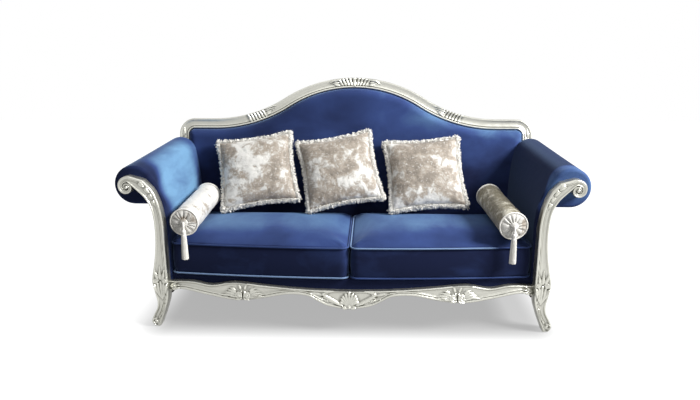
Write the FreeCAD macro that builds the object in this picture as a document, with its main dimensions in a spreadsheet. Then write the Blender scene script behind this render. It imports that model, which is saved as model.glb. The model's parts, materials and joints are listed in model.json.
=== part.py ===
import FreeCAD, Part
import math
import os
from FreeCAD import Placement, Rotation, Vector

# Throne sofa: carved show frame, sprung seat, padded back and arms, loose cushions, pillows and bolsters.
# Millimetres and degrees. X runs to the viewer's right, Y to the back, Z up, floor at Z = 0.

os.makedirs("parts", exist_ok=True)
doc = FreeCAD.newDocument("ThroneSofa")

# Driving dimensions
SIZES = {
    "overall_width": 2124,
    "overall_depth": 860,
    "crest_height": 1123,
    "fit_clearance": 0.3,
    "glide_radius": 11,
    "glide_thickness": 4,
    "rail_bottom": 150,
    "rail_height": 55,
    "front_rail_height": 21,
    "rail_thickness": 32,
    "front_bow": 52,
    "apron_thickness": 26,
    "apron_rise": 54,
    "apron_drop": 37,
    "post_setback": 30,
    "post_thickness": 55,
    "post_reveal": 10,
    "volute_radius": 45,
    "volute_shift": 6,
    "volute_lift": 5,
    "foot_offset": 65,
    "foot_flat": 26,
    "toe_reach": 92,
    "ankle_reach": 57,
    "knee_reach": 76,
    "knee_lift": 26,
    "waist_reach": 45,
    "roll_radius": 80,
    "roll_height": 674,
    "roll_rise": 50,
    "front_sweep": 70,
    "rear_sweep": 32,
    "arm_thickness": 58,
    "arm_bend_height": 500,
    "board_thickness": 20,
    "board_height": 390,
    "roll_core_radius": 38,
    "cover_thickness": 3,
    "back_rake": 11,
    "frame_depth": 45,
    "crest_span": 1942,
    "crest_width": 58,
    "crest_proud": 15,
    "crest_rise": 224,
    "crest_reach": 770,
    "ear_radius": 88,
    "ear_drop": 105,
    "stile_width": 45,
    "tail_rail_low": 70,
    "tail_rail_height": 50,
    "back_pad_thickness": 64,
    "back_pad_bevel": 34,
    "strap_width": 50,
    "strap_thickness": 2,
    "strap_count": 5,
    "rear_leg_depth": 52,
    "rear_leg_kick": 50,
    "rear_leg_toe": 32,
    "block_leg": 70,
    "block_height": 20,
    "screw_radius": 3,
    "screw_length": 46,
    "bolt_radius": 4,
    "bolt_length": 60,
    "stretcher_width": 40,
    "stretcher_height": 16,
    "deck_height": 51,
    "spring_count": 9,
    "spring_wire": 2,
    "spring_reach": 24,
    "spring_pitch": 36,
    "spring_lift": 6,
    "clip_width": 28,
    "clip_depth": 14,
    "clip_height": 10,
    "burlap_thickness": 2,
    "cushion_height": 146,
    "cushion_crown": 46,
    "crown_inset": 75,
    "cushion_corner": 30,
    "cushion_reveal": 16,
    "cushion_gap": 2,
    "piping_radius": 4,
    "pillow_size": 390,
    "pillow_thickness": 150,
    "pillow_lean": 34,
    "pillow_gap": 4,
    "left_pillow_turn": 9.5,
    "middle_pillow_turn": 11.5,
    "right_pillow_turn": 5,
    "fringe_width": 14,
    "fringe_thickness": 8,
    "bolster_radius": 66,
    "bolster_length": 460,
    "left_bolster_gap": 16,
    "left_bolster_yaw": -1.5,
    "left_bolster_tilt": 2,
    "right_bolster_gap": 36,
    "right_bolster_yaw": 3,
    "right_bolster_tilt": 3,
    "bolster_overhang": 9,
    "end_panel_radius": 58,
    "end_panel_thickness": 8,
    "welt_radius": 3.5,
    "button_radius": 15,
    "button_height": 8,
    "tassel_length": 172,
    "tassel_neck": 5.5,
    "tassel_skirt": 16,
}

sheet = doc.addObject("Spreadsheet::Sheet", "Sheet")
for row, (alias, number) in enumerate(SIZES.items(), start=1):
    sheet.set(f"A{row}", alias)
    sheet.set(f"B{row}", str(number))
    sheet.setAlias(f"B{row}", alias)
doc.recompute()


def size(alias):
    return float(getattr(sheet, alias))


def value(expression):
    return float(sheet.evalExpression(expression))


# Shared levels and stations, as expressions on the sheet
FIT = "Sheet.fit_clearance"
RAIL_TOP = "(Sheet.rail_bottom + Sheet.rail_height)"
FRONT = "(-Sheet.overall_depth / 2)"
POST_FRONT = f"({FRONT} + Sheet.post_setback)"
POST_BACK = f"({POST_FRONT} + Sheet.post_thickness)"
ROLL_X = "(Sheet.overall_width / 2 - Sheet.roll_radius)"
ARM_INNER = f"({ROLL_X} - Sheet.roll_radius - Sheet.front_sweep)"
ARM_OUTER = f"({ARM_INNER} + Sheet.arm_thickness)"
POST_INNER = f"({ARM_INNER} + Sheet.post_reveal)"
DECK_TOP = f"({RAIL_TOP} + Sheet.deck_height)"
CUSHION_BOTTOM = f"({DECK_TOP} + {FIT})"
CUSHION_EDGE = f"({CUSHION_BOTTOM} + Sheet.cushion_height)"
CUSHION_TOP = f"({CUSHION_EDGE} + Sheet.cushion_crown)"
SEAM_REACH = "(Sheet.pillow_size / 2 + Sheet.fringe_width)"

rake = math.radians(size("back_rake"))
front_y = value(FRONT)
rail_top = value(RAIL_TOP)
post_front = value(POST_FRONT)
post_back = value(POST_BACK)
roll_x = value(ROLL_X)
arm_inner = value(ARM_INNER)
arm_outer = value(ARM_OUTER)
post_inner = value(POST_INNER)
deck_top = value(DECK_TOP)
cushion_bottom = value(CUSHION_BOTTOM)
cushion_edge = value(CUSHION_EDGE)
cushion_top = value(CUSHION_TOP)
fit = size("fit_clearance")

# Bowed front: one centre for apron, rail, deck and cushion arcs
bow_radius = (post_inner ** 2 + size("front_bow") ** 2) / (2 * size("front_bow"))
bow_centre_y = front_y + bow_radius
rail_front_radius = bow_radius - size("apron_thickness")
cushion_radius = bow_radius - size("cushion_reveal")


def bow_y(radius, x):
    return bow_centre_y - math.sqrt(radius ** 2 - x ** 2)


front_rail_back = bow_y(rail_front_radius, post_inner) + size("rail_thickness")

# Raked back: local x across, v through the thickness, w up the back
peak_w = (size("crest_height") - rail_top - size("crest_proud") * math.sin(rake)) / math.cos(rake)
back_y = size("overall_depth") / 2 - size("frame_depth") * math.cos(rake) - peak_w * math.sin(rake)
back_rail_back = back_y + size("rail_thickness")
pad_rear_v = -size("strap_thickness")
pad_front_v = pad_rear_v - size("back_pad_thickness")
BACK_PLACE = Placement(Vector(0, back_y, rail_top), Rotation(Vector(1, 0, 0), -size("back_rake")))
flat_w = peak_w - size("crest_rise")
ear_w = flat_w - size("ear_drop")
ear_x = size("crest_span") / 2
camel_radius = (size("crest_reach") ** 2 + size("crest_rise") ** 2) / (4 * size("crest_rise"))


def back_w(z, v):
    return (z - rail_top + v * math.sin(rake)) / math.cos(rake)


def pad_front_y(z):
    return back_y + pad_front_v * math.cos(rake) + back_w(z, pad_front_v) * math.sin(rake)


def stile_outer(w):
    share = w / ear_w
    return arm_outer + share * (ear_x - arm_outer)


def stile_inner(w):
    share = w / ear_w
    low = arm_outer - size("stile_width")
    return low + share * (ear_x - size("crest_width") - low)


class Outline:
    """Closed run of lines, arcs and splines in a sketch plane."""

    def __init__(self, start):
        self.start = Vector(start[0], start[1], 0)
        self.at = self.start
        self.edges = []

    def line(self, end):
        point = Vector(end[0], end[1], 0)
        self.edges.append(Part.LineSegment(self.at, point))
        self.at = point
        return self

    def arc(self, middle, end):
        point = Vector(end[0], end[1], 0)
        arc = Part.Arc(self.at, Vector(middle[0], middle[1], 0), point)
        self.edges.append(arc)
        self.at = point
        return self

    def spline(self, points):
        curve = Part.BSplineCurve()
        curve.interpolate([self.at] + [Vector(p[0], p[1], 0) for p in points])
        self.edges.append(curve)
        self.at = Vector(points[-1][0], points[-1][1], 0)
        return self

    def close(self):
        if (self.at - self.start).Length > 1e-6:
            self.line((self.start.x, self.start.y))
        return self


def polygon(points):
    outline = Outline(points[0])
    for point in points[1:]:
        outline.line(point)
    return outline.close()


def plane_of(body, role):
    return [f for f in body.Origin.OriginFeatures if f.Role == role][0]


def add_sketch(body, name, role, outlines, offset=0.0):
    sketch = body.newObject("Sketcher::SketchObject", name)
    sketch.AttachmentSupport = [(plane_of(body, role), "")]
    sketch.MapMode = "FlatFace"
    sketch.AttachmentOffset = Placement(Vector(0, 0, offset), Rotation())
    for outline in outlines:
        for edge in outline.edges:
            sketch.addGeometry(edge, False)
    return sketch


def pad_body(name, role, outlines, length, place=None, backward=False, midplane=False):
    body = doc.addObject("PartDesign::Body", name)
    sketch = add_sketch(body, f"{name}_outline", role, outlines)
    pad = body.newObject("PartDesign::Pad", f"{name}_pad")
    pad.Profile = sketch
    pad.setExpression("Length", length)
    pad.Reversed = backward
    if midplane:
        pad.SideType = "Symmetric"
    sketch.Visibility = False
    body.Tip = pad
    if place is not None:
        body.Placement = place
    return body


def loft_body(name, role, sections, place=None):
    body = doc.addObject("PartDesign::Body", name)
    sketches = []
    for index, (offset, outline) in enumerate(sections):
        sketches.append(add_sketch(body, f"{name}_section_{index}", role, [outline], offset))
    loft = body.newObject("PartDesign::AdditiveLoft", f"{name}_loft")
    loft.Profile = sketches[0]
    loft.Sections = sketches[1:]
    loft.Ruled = True
    body.Tip = loft
    if place is not None:
        body.Placement = place
    return body


def turned_body(name, profile, place):
    body = doc.addObject("PartDesign::Body", name)
    sketch = add_sketch(body, f"{name}_profile", "XZ_Plane", [profile])
    turn = body.newObject("PartDesign::Revolution", f"{name}_turn")
    turn.Profile = sketch
    turn.ReferenceAxis = (sketch, ["V_Axis"])
    turn.Angle = 360
    body.Tip = turn
    body.Placement = place
    return body


def box(name, x, y, z, length, width, height):
    part = doc.addObject("Part::Box", name)
    part.setExpression("Length", length)
    part.setExpression("Width", width)
    part.setExpression("Height", height)
    part.Placement = Placement(Vector(x, y, z), Rotation())
    return part


def cylinder(name, radius, height, place):
    part = doc.addObject("Part::Cylinder", name)
    part.setExpression("Radius", radius)
    part.setExpression("Height", height)
    part.Placement = place
    return part


def cone(name, base, tip, height, place):
    part = doc.addObject("Part::Cone", name)
    part.setExpression("Radius1", base)
    part.setExpression("Radius2", tip)
    part.setExpression("Height", height)
    part.Placement = place
    return part


def cut(name, base, tools):
    whole = base
    for index, tool in enumerate(tools):
        last = index == len(tools) - 1
        step = doc.addObject("Part::Cut", name if last else f"{name}_step_{index}")
        step.Base = whole
        step.Tool = tool
        whole = step
    return whole


def group(name, members):
    bundle = doc.addObject("Part::Compound", name)
    bundle.Links = members
    return bundle


def feature(name, shape, place=None):
    part = doc.addObject("Part::Feature", name)
    part.Shape = shape
    if place is not None:
        part.Placement = place
    return part


NODES = {}


def node(label, part):
    part.Label = label
    NODES[label] = part


def sides():
    return (("left", -1), ("right", 1))


# Half-space tools shared by the cuts
REACH = "(3 * Sheet.overall_width)"
reach = value(REACH)


def behind_plane(name, v):
    tool = box(name, 0, 0, 0, REACH, REACH, REACH)
    tool.Placement = BACK_PLACE.multiply(Placement(Vector(-reach / 2, v, -reach / 2), Rotation()))
    return tool


def below_level(name, z):
    return box(name, -reach / 2, -reach / 2, z - reach, REACH, REACH, REACH)


# Front posts: arm facing, volute and cabriole leg in one carved piece
def post_outline(side):
    ground = size("glide_thickness")
    volute_x = roll_x + size("volute_shift")
    volute_z = size("roll_height") + size("volute_lift")
    radius = size("volute_radius")
    foot_x = post_inner + size("foot_offset")
    knee_z = rail_top + size("knee_lift")

    def at(x, z):
        return (side * x, z)

    def on_volute(angle):
        turn = math.radians(angle)
        return at(volute_x + radius * math.cos(turn), volute_z + radius * math.sin(turn))

    root_x, root_z = on_volute(215)
    root_x = side * root_x
    rise = root_z - knee_z
    crown_x, crown_z = on_volute(116)
    crown_x = side * crown_x
    bend_z = size("arm_bend_height")
    lean_x = crown_x - post_inner
    lean_z = crown_z - bend_z
    waist_x = post_inner + size("waist_reach")
    neck_x = root_x - waist_x

    outline = Outline(at(foot_x + size("foot_flat") / 2, ground))
    outline.spline([
        at(post_inner + size("toe_reach"), ground + 24),
        at(post_inner + size("toe_reach") - 13, ground + 56),
        at(post_inner + size("ankle_reach"), ground + 106),
        at(post_inner + size("knee_reach") - 5, size("rail_bottom") + 28),
        at(post_inner + size("knee_reach"), knee_z),
        at(waist_x + 6, knee_z + 0.3 * rise),
        at(waist_x, knee_z + 0.56 * rise),
        at(waist_x + 0.17 * neck_x, knee_z + 0.82 * rise),
        at(waist_x + 0.63 * neck_x, knee_z + 0.945 * rise),
        at(root_x, root_z),
    ])
    outline.arc(on_volute(0), at(crown_x, crown_z))
    outline.spline([
        at(post_inner + 0.66 * lean_x, bend_z + 0.945 * lean_z),
        at(post_inner + 0.33 * lean_x, bend_z + 0.75 * lean_z),
        at(post_inner + 0.125 * lean_x, bend_z + 0.455 * lean_z),
        at(post_inner, bend_z),
    ])
    outline.line(at(post_inner, size("rail_bottom") + 12))
    outline.spline([
        at(post_inner + 16, ground + 90),
        at(foot_x - size("foot_flat") / 2, ground),
    ])
    return outline.close()


for name, side in sides():
    place = Placement(Vector(0, post_front, 0), Rotation())
    post = pad_body(f"{name}_post", "XZ_Plane", [post_outline(side)], "Sheet.post_thickness", place, True)
    node(f"{name}_front_post", post)

# Apron: shaped front elevation shared with a bowed strip in plan
APRON_TOP_EDGE = ((1.0, 0.33), (0.87, 0.4), (0.76, 0.18), (0.63, 0.5), (0.475, 0.31), (0.29, 0.11),
                  (0.0, 0.0))
APRON_LOW_EDGE = ((0.0, 0.0), (0.125, 0.26), (0.235, 0.9), (0.345, 0.94), (0.5, 0.57), (0.63, 0.43),
                  (0.76, 0.64), (0.925, 1.0), (1.0, 0.82))
APRON_LOW_SPAN = 1.892


def apron_outline():
    top_base = size("rail_bottom") + size("apron_rise")
    low_base = size("rail_bottom") - size("apron_drop")
    top_span = size("rail_height")
    low_span = APRON_LOW_SPAN * size("apron_drop")
    top = [(share * post_inner, top_base + top_span * lift) for share, lift in APRON_TOP_EDGE]
    low = [(share * post_inner, low_base + low_span * lift) for share, lift in APRON_LOW_EDGE]
    outline = Outline(top[0])
    outline.spline(top[1:] + [(-x, z) for x, z in reversed(top[:-1])])
    outline.line((-low[-1][0], low[-1][1]))
    outline.spline([(-x, z) for x, z in reversed(low[:-1])] + low[1:])
    return outline.close()


def bowed_strip(outer, inner, half):
    outline = Outline((-half, bow_y(outer, half)))
    outline.arc((0, bow_y(outer, 0)), (half, bow_y(outer, half)))
    outline.line((half, bow_y(inner, half)))
    outline.arc((0, bow_y(inner, 0)), (-half, bow_y(inner, half)))
    return outline.close()


elevation = pad_body("apron_elevation", "XZ_Plane", [apron_outline()], "Sheet.overall_depth",
                     Placement(Vector(0, 0, 0), Rotation()))
strip = pad_body("apron_strip", "XY_Plane", [bowed_strip(bow_radius, rail_front_radius, post_inner)],
                 "2 * Sheet.crest_height", Placement(Vector(0, 0, -size("crest_height")), Rotation()))
apron = doc.addObject("Part::Common", "apron_shape")
apron.Base = elevation
apron.Tool = strip
node("front_apron", apron)

# Seat rails
rail_outline = Outline((-post_inner, bow_y(rail_front_radius, post_inner)))
rail_outline.arc((0, bow_y(rail_front_radius, 0)), (post_inner, bow_y(rail_front_radius, post_inner)))
rail_outline.line((post_inner, front_rail_back))
rail_outline.line((-post_inner, front_rail_back))
rail_outline.close()
front_rail_low = rail_top - size("front_rail_height")
node("front_seat_rail", pad_body("front_rail", "XY_Plane", [rail_outline], "Sheet.front_rail_height",
                                 Placement(Vector(0, 0, front_rail_low), Rotation())))
node("back_seat_rail", box("back_rail", -post_inner, back_y, size("rail_bottom"),
                           f"2 * {POST_INNER}", "Sheet.rail_thickness", "Sheet.rail_height"))
SIDE_RAIL_WIDTH = f"({ARM_OUTER} - {POST_INNER})"
for name, side in sides():
    start = post_inner if side > 0 else -arm_outer
    rail = box(f"{name}_rail", start, post_back, size("rail_bottom"),
               SIDE_RAIL_WIDTH, str(back_rail_back - post_back), "Sheet.rail_height")
    node(f"{name}_side_rail", rail)
node("centre_stretcher", box("stretcher", -size("stretcher_width") / 2, front_rail_back, front_rail_low,
                             "Sheet.stretcher_width", str(back_y - front_rail_back),
                             "Sheet.stretcher_height"))

# Corner blocks with their screws, and the bolts that hold the front posts
SCREW_RUN = "Sheet.screw_length + Sheet.block_leg * 0.35"
blocks = []
screws = []
for name, side in sides():
    for end, corner_y, inward in (("front", front_rail_back, 1), ("back", back_y, -1)):
        leg = size("block_leg")
        near_x = side * post_inner
        outline = polygon([(near_x, corner_y), (side * (post_inner - leg), corner_y),
                           (near_x, corner_y + inward * leg)])
        blocks.append(pad_body(f"{name}_{end}_block", "XY_Plane", [outline], "Sheet.block_height",
                               Placement(Vector(0, 0, front_rail_low), Rotation())))
        screw_y = corner_y + inward * leg * 0.3
        screw_z = front_rail_low + size("block_height") / 2
        head_x = side * (post_inner - leg * 0.7 - size("screw_radius"))
        turned = Rotation(Vector(0, 0, 1), Vector(side, 0, 0))
        screw_place = Placement(Vector(head_x, screw_y, screw_z), turned)
        screws.append(cylinder(f"{name}_{end}_screw", "Sheet.screw_radius", SCREW_RUN, screw_place))
node("corner_blocks", group("block_set", blocks))
node("block_screws", group("screw_set", screws))
bolts = []
for name, side in sides():
    for level in (0.3, 0.7):
        spot = Vector(side * (post_inner + arm_outer) / 2, post_back - size("bolt_length") * 0.5,
                      size("rail_bottom") + size("rail_height") * level)
        bolts.append(cylinder(f"{name}_bolt_{int(level * 10)}", "Sheet.bolt_radius", "Sheet.bolt_length",
                              Placement(spot, Rotation(Vector(0, 0, 1), Vector(0, 1, 0)))))
node("post_bolts", group("bolt_set", bolts))

# Rear legs, raked to the back
leg_front = back_rail_back
leg_back = leg_front + size("rear_leg_depth")
toe_front = leg_front + size("rear_leg_kick")
toe_back = toe_front + size("rear_leg_toe")
leg_ground = size("glide_thickness")
leg_mid = (leg_ground + size("rail_bottom")) / 2
leg_outline = Outline((leg_front, rail_top))
leg_outline.line((leg_front, size("rail_bottom")))
leg_outline.spline([(leg_front + 0.3 * size("rear_leg_kick"), leg_mid), (toe_front, leg_ground)])
leg_outline.line((toe_back, leg_ground))
leg_outline.spline([(leg_back + 0.1 * (toe_back - leg_back), leg_mid), (leg_back, size("rail_bottom"))])
leg_outline.line((leg_back, rail_top))
leg_outline.close()
for name, side in sides():
    start = post_inner if side > 0 else -arm_outer
    node(f"{name}_rear_leg", pad_body(f"{name}_leg", "YZ_Plane", [leg_outline], SIDE_RAIL_WIDTH,
                                      Placement(Vector(start, 0, 0), Rotation())))

# Floor glides
foot_x = post_inner + size("foot_offset")
rear_foot_x = (post_inner + arm_outer) / 2
foot_y = (post_front + post_back) / 2
rear_foot_y = (toe_front + toe_back) / 2
glides = []
for name, side in sides():
    feet = (("front", Vector(side * foot_x, foot_y, 0)), ("rear", Vector(side * rear_foot_x, rear_foot_y, 0)))
    for end, spot in feet:
        glides.append(cylinder(f"{name}_{end}_glide", "Sheet.glide_radius", "Sheet.glide_thickness",
                               Placement(spot, Rotation())))
node("floor_glides", group("glide_set", glides))


# Crest rail: camel arch, flat shoulders and ears that turn down to the stiles
def crest_path(outline, offset, side_x, low_w, forward):
    shoulder = flat_w - offset
    radius = max(min(size("ear_radius"), size("ear_drop") - 4) - offset, 5.0)
    start_x = side_x - radius
    top_centre = Vector(0, peak_w - camel_radius, 0)
    dip_centre = Vector(size("crest_reach"), flat_w + camel_radius, 0)
    along = (dip_centre - top_centre).normalize()
    turn = top_centre + along * (camel_radius - offset)
    dip_radius = camel_radius + offset
    lean = (turn.x - dip_centre.x) / 2
    dip_middle = (dip_centre.x + lean, dip_centre.y - math.sqrt(dip_radius ** 2 - lean ** 2))
    corner = (start_x + radius * math.sin(math.pi / 4), shoulder - radius + radius * math.cos(math.pi / 4))
    outline.line((side_x * forward, shoulder - radius))
    outline.arc((corner[0] * forward, corner[1]), (start_x * forward, shoulder))
    outline.line((size("crest_reach") * forward, shoulder))
    outline.arc((dip_middle[0] * forward, dip_middle[1]), (turn.x * forward, turn.y))
    outline.arc((0, peak_w - offset), (-turn.x * forward, turn.y))
    outline.arc((-dip_middle[0] * forward, dip_middle[1]), (-size("crest_reach") * forward, shoulder))
    outline.line((-start_x * forward, shoulder))
    outline.arc((-corner[0] * forward, corner[1]), (-side_x * forward, shoulder - radius))
    outline.line((-side_x * forward, low_w))
    return outline


crest_outline = Outline((ear_x, ear_w))
crest_path(crest_outline, 0.0, ear_x, ear_w, 1)
crest_inner_x = ear_x - size("crest_width")
crest_outline.line((-crest_inner_x, ear_w))
crest_path(crest_outline, size("crest_width"), crest_inner_x, ear_w, -1)
crest_outline.close()
crest_place = BACK_PLACE.multiply(Placement(Vector(0, -size("crest_proud"), 0), Rotation()))
node("crest_rail", pad_body("crest", "XZ_Plane", [crest_outline], "Sheet.frame_depth + Sheet.crest_proud",
                            crest_place, True))

# Back frame behind the padding
for name, side in sides():
    low_w = -size("rail_height")
    points = [(side * stile_inner(low_w), low_w), (side * stile_outer(low_w), low_w),
              (side * stile_outer(ear_w), ear_w), (side * stile_inner(ear_w), ear_w)]
    long_stile = pad_body(f"{name}_stile_blank", "XZ_Plane", [polygon(points)],
                          "Sheet.frame_depth - 0.5", BACK_PLACE, True)
    stile_foot = below_level(f"{name}_stile_foot", rail_top)
    node(f"{name}_back_stile", cut(f"{name}_stile", long_stile, [stile_foot]))
tail_low = size("tail_rail_low")
tail_high = tail_low + size("tail_rail_height")
tail_points = [(-stile_inner(tail_low), tail_low), (stile_inner(tail_low), tail_low),
               (stile_inner(tail_high), tail_high), (-stile_inner(tail_high), tail_high)]
node("back_tail_rail", pad_body("tail_rail", "XZ_Plane", [polygon(tail_points)], "Sheet.frame_depth - 0.5",
                                BACK_PLACE, True))
half_stile = size("stile_width") / 2
crest_under = peak_w - camel_radius + math.sqrt((camel_radius - size("crest_width")) ** 2 - half_stile ** 2)
centre_points = [(-half_stile, tail_high), (half_stile, tail_high), (half_stile, crest_under - 0.1),
                 (-half_stile, crest_under - 0.1)]
node("back_centre_stile", pad_body("centre_stile", "XZ_Plane", [polygon(centre_points)],
                                   "Sheet.frame_depth - 0.5", BACK_PLACE, True))
straps = []
strap_count = int(size("strap_count"))
strap_step = (ear_w - tail_high - size("strap_width")) / strap_count
for index in range(strap_count):
    low = tail_high + strap_step * (index + 0.6)
    half = stile_inner(low) + 0.5 * size("stile_width")
    strap = box(f"strap_{index}", 0, 0, 0, str(2 * half), "Sheet.strap_thickness", "Sheet.strap_width")
    strap.Placement = BACK_PLACE.multiply(Placement(Vector(-half, pad_rear_v, low), Rotation()))
    straps.append(strap)
node("back_webbing", group("strap_set", straps))

# Arms: pad round a board and a roll core, ended by the face of the back pad
arm_plane = behind_plane("arm_end", pad_front_v - fit)
roll_rear_x = arm_inner + size("roll_radius") + size("rear_sweep")
roll_rear_z = size("roll_height") + size("roll_rise")
arm_rear_y = pad_front_y(roll_rear_z) + size("roll_radius")


def arm_outline(side, centre_x, centre_z):
    radius = size("roll_radius")
    bend_z = size("arm_bend_height")
    sweep = centre_x - arm_inner
    lift = centre_z - bend_z
    lean = (sweep ** 2 + lift ** 2 - radius ** 2) / (2 * (sweep - radius))
    lean_centre = (arm_inner + lean, bend_z)
    toward = math.atan2(centre_z - bend_z, centre_x - lean_centre[0])
    half = (toward + math.pi) / 2

    def at(x, z):
        return (side * x, z)

    def on_roll(angle):
        return at(centre_x + radius * math.cos(angle), centre_z + radius * math.sin(angle))

    touch = on_roll(toward)
    lean_middle = at(lean_centre[0] + lean * math.cos(half), lean_centre[1] + lean * math.sin(half))
    outline = Outline(at(arm_inner, rail_top))
    outline.line(at(arm_inner, bend_z))
    outline.arc(lean_middle, touch)
    outline.arc(on_roll(0.5 * toward - 0.25 * math.pi), on_roll(-0.5 * math.pi))
    outline.line(at(arm_outer, centre_z - radius))
    outline.line(at(arm_outer, rail_top))
    return outline.close()


boards = []
for name, side in sides():
    sections = [(-post_back, arm_outline(side, roll_x, size("roll_height"))),
                (-arm_rear_y, arm_outline(side, roll_rear_x, roll_rear_z))]
    whole = loft_body(f"{name}_arm_blank", "XZ_Plane", sections)
    board_x = post_inner + 0.2 * (arm_outer - post_inner)
    start = board_x if side > 0 else -board_x - size("board_thickness")
    board_blank = box(f"{name}_board_blank", start, post_back, rail_top,
                      "Sheet.board_thickness", str(arm_rear_y + size("overall_depth")), "Sheet.board_height")
    board = cut(f"{name}_board", board_blank, [behind_plane(f"{name}_board_end", pad_rear_v)])
    boards.append((start, board))
    node(f"{name}_arm_board", board)
    axis_start = Vector(side * roll_x, post_back, size("roll_height"))
    axis_end = Vector(side * roll_rear_x, arm_rear_y, roll_rear_z)
    along = axis_end - axis_start
    back_step = along * 0.2
    turn = Rotation(Vector(0, 0, 1), along)
    long_core = cylinder(f"{name}_core_blank", "Sheet.roll_core_radius", str(along.Length * 1.2),
                         Placement(axis_start - back_step, turn))
    front_block = box(f"{name}_core_front", -reach / 2, post_back - reach, -reach / 2, REACH, REACH, REACH)
    core = cut(f"{name}_core", long_core, [front_block, arm_plane])
    node(f"{name}_arm_roll_core", core)
    bore = cylinder(f"{name}_core_bore", f"Sheet.roll_core_radius + {FIT}", str(along.Length * 1.4),
                    Placement(axis_start - back_step, turn))
    slot = box(f"{name}_board_slot", start, post_back - 10, rail_top - 10, "Sheet.board_thickness",
               str(arm_rear_y + size("overall_depth")), f"Sheet.board_height + 10 + {FIT}")
    node(f"{name}_arm_pad", cut(f"{name}_arm", whole, [bore, slot, arm_plane]))
    panel_start = arm_outer if side > 0 else -arm_outer - size("cover_thickness")
    panel_blank = box(f"{name}_panel_blank", panel_start, post_back, size("rail_bottom"),
                      "Sheet.cover_thickness", str(arm_rear_y + size("overall_depth")),
                      "Sheet.roll_height - Sheet.roll_radius - Sheet.rail_bottom")
    node(f"{name}_outside_arm", cut(f"{name}_panel", panel_blank, [arm_plane]))


# Inside back pad, slotted for the arm boards and resting on the deck
def pad_outline(bevel):
    offset = size("crest_width") + fit + bevel
    side_x = crest_inner_x - fit
    low_w = -size("rail_height")
    low_x = arm_outer - 1
    knee_w = ear_w - size("back_pad_bevel")
    outline = Outline((low_x, low_w))
    outline.line((side_x, knee_w))
    crest_path(outline, offset, side_x, knee_w, 1)
    outline.line((-low_x, low_w))
    return outline.close()


bevel_v = -size("crest_proud")
pad_sections = [(-pad_rear_v, pad_outline(0.0)), (-bevel_v, pad_outline(0.0)),
                (-pad_front_v, pad_outline(size("back_pad_bevel")))]
pad_blank = loft_body("back_pad_blank", "XZ_Plane", pad_sections, BACK_PLACE)
deck_half = arm_inner - 1
pad_tools = [below_level("back_pad_foot", rail_top + fit),
             box("deck_notch", -deck_half - fit, back_y - reach / 2, deck_top + fit - reach,
                 f"2 * ({ARM_INNER} - 1 + {FIT})", REACH, REACH)]
for index, (start, board) in enumerate(boards):
    pad_tools.append(box(f"pad_slot_{index}", start - fit, post_back, rail_top - 10,
                         f"Sheet.board_thickness + 2 * {FIT}", "2 * Sheet.overall_depth",
                         f"Sheet.board_height + 10 + {FIT}"))
node("inside_back_pad", cut("back_pad", pad_blank, pad_tools))

# Outside back cover, from the crest down to the foot of the seat rail
cover_v = size("frame_depth") - 0.5
cover_low = back_w(size("rail_bottom"), cover_v)
cover_step = back_w(rail_top, cover_v) + 2
cover_outline = Outline((post_inner - 1, cover_low))
cover_outline.line((post_inner - 1, cover_step))
cover_outline.line((stile_outer(cover_step) - 1, cover_step))
cover_outline.line((stile_outer(ear_w) - 1, ear_w - fit))
cover_outline.line((crest_inner_x - fit, ear_w - fit))
crest_path(cover_outline, size("crest_width") + fit, crest_inner_x - fit, ear_w - fit, 1)
cover_outline.line((-stile_outer(ear_w) + 1, ear_w - fit))
cover_outline.line((-stile_outer(cover_step) + 1, cover_step))
cover_outline.line((-post_inner + 1, cover_step))
cover_outline.line((-post_inner + 1, cover_low))
cover_outline.close()
cover_place = BACK_PLACE.multiply(Placement(Vector(0, cover_v, 0), Rotation()))
node("outside_back", pad_body("back_cover", "XZ_Plane", [cover_outline], "Sheet.cover_thickness",
                              cover_place, True))

# Seat deck with a recess for the springs
deck_outline = Outline((-deck_half, bow_y(rail_front_radius, deck_half)))
deck_outline.arc((0, bow_y(rail_front_radius, 0)), (deck_half, bow_y(rail_front_radius, deck_half)))
deck_outline.line((deck_half, back_rail_back - 1))
deck_outline.line((-deck_half, back_rail_back - 1))
deck_outline.close()
deck_blank = pad_body("deck_blank", "XY_Plane", [deck_outline], "Sheet.deck_height",
                      Placement(Vector(0, 0, rail_top), Rotation()))
recess_front = front_rail_back - size("clip_depth") - 3
recess_back = back_y + size("clip_depth") + 3
recess_half = deck_half - 25
recess_height = f"(Sheet.clip_height + Sheet.burlap_thickness + 2 * {FIT})"
recess = box("deck_recess", -recess_half, recess_front, rail_top, str(2 * recess_half),
             str(recess_back - recess_front), recess_height)
node("seat_deck", cut("deck", deck_blank, [recess]))

# Sinuous springs, clips and burlap
spring_z = rail_top + size("spring_lift")
run_front = front_rail_back - size("clip_depth") / 2
run_back = back_y + size("clip_depth") / 2
runs = max(int(round((run_back - run_front) / size("spring_pitch"))), 4)
run_step = (run_back - run_front) / runs
reach_x = size("spring_reach")
spring_count = int(size("spring_count"))
spring_space = 2 * (recess_half - size("clip_width") - reach_x) / (spring_count - 1)


def spring_wire(centre_x):
    edges = []
    for index in range(runs + 1):
        y = run_front + index * run_step
        toward = 1 if index % 2 == 0 else -1
        near = Vector(centre_x - toward * reach_x, y, spring_z)
        far = Vector(centre_x + toward * reach_x, y, spring_z)
        edges.append(Part.LineSegment(near, far).toShape())
        if index < runs:
            turn = Vector(far.x + toward * run_step / 2, y + run_step / 2, spring_z)
            edges.append(Part.Arc(far, turn, Vector(far.x, y + run_step, spring_z)).toShape())
    path = Part.Wire(edges)
    start = path.Edges[0].valueAt(path.Edges[0].FirstParameter)
    ring = Part.Wire([Part.Circle(start, Vector(1, 0, 0), size("spring_wire")).toShape()])
    return path.makePipeShell([ring], True, False)


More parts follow.
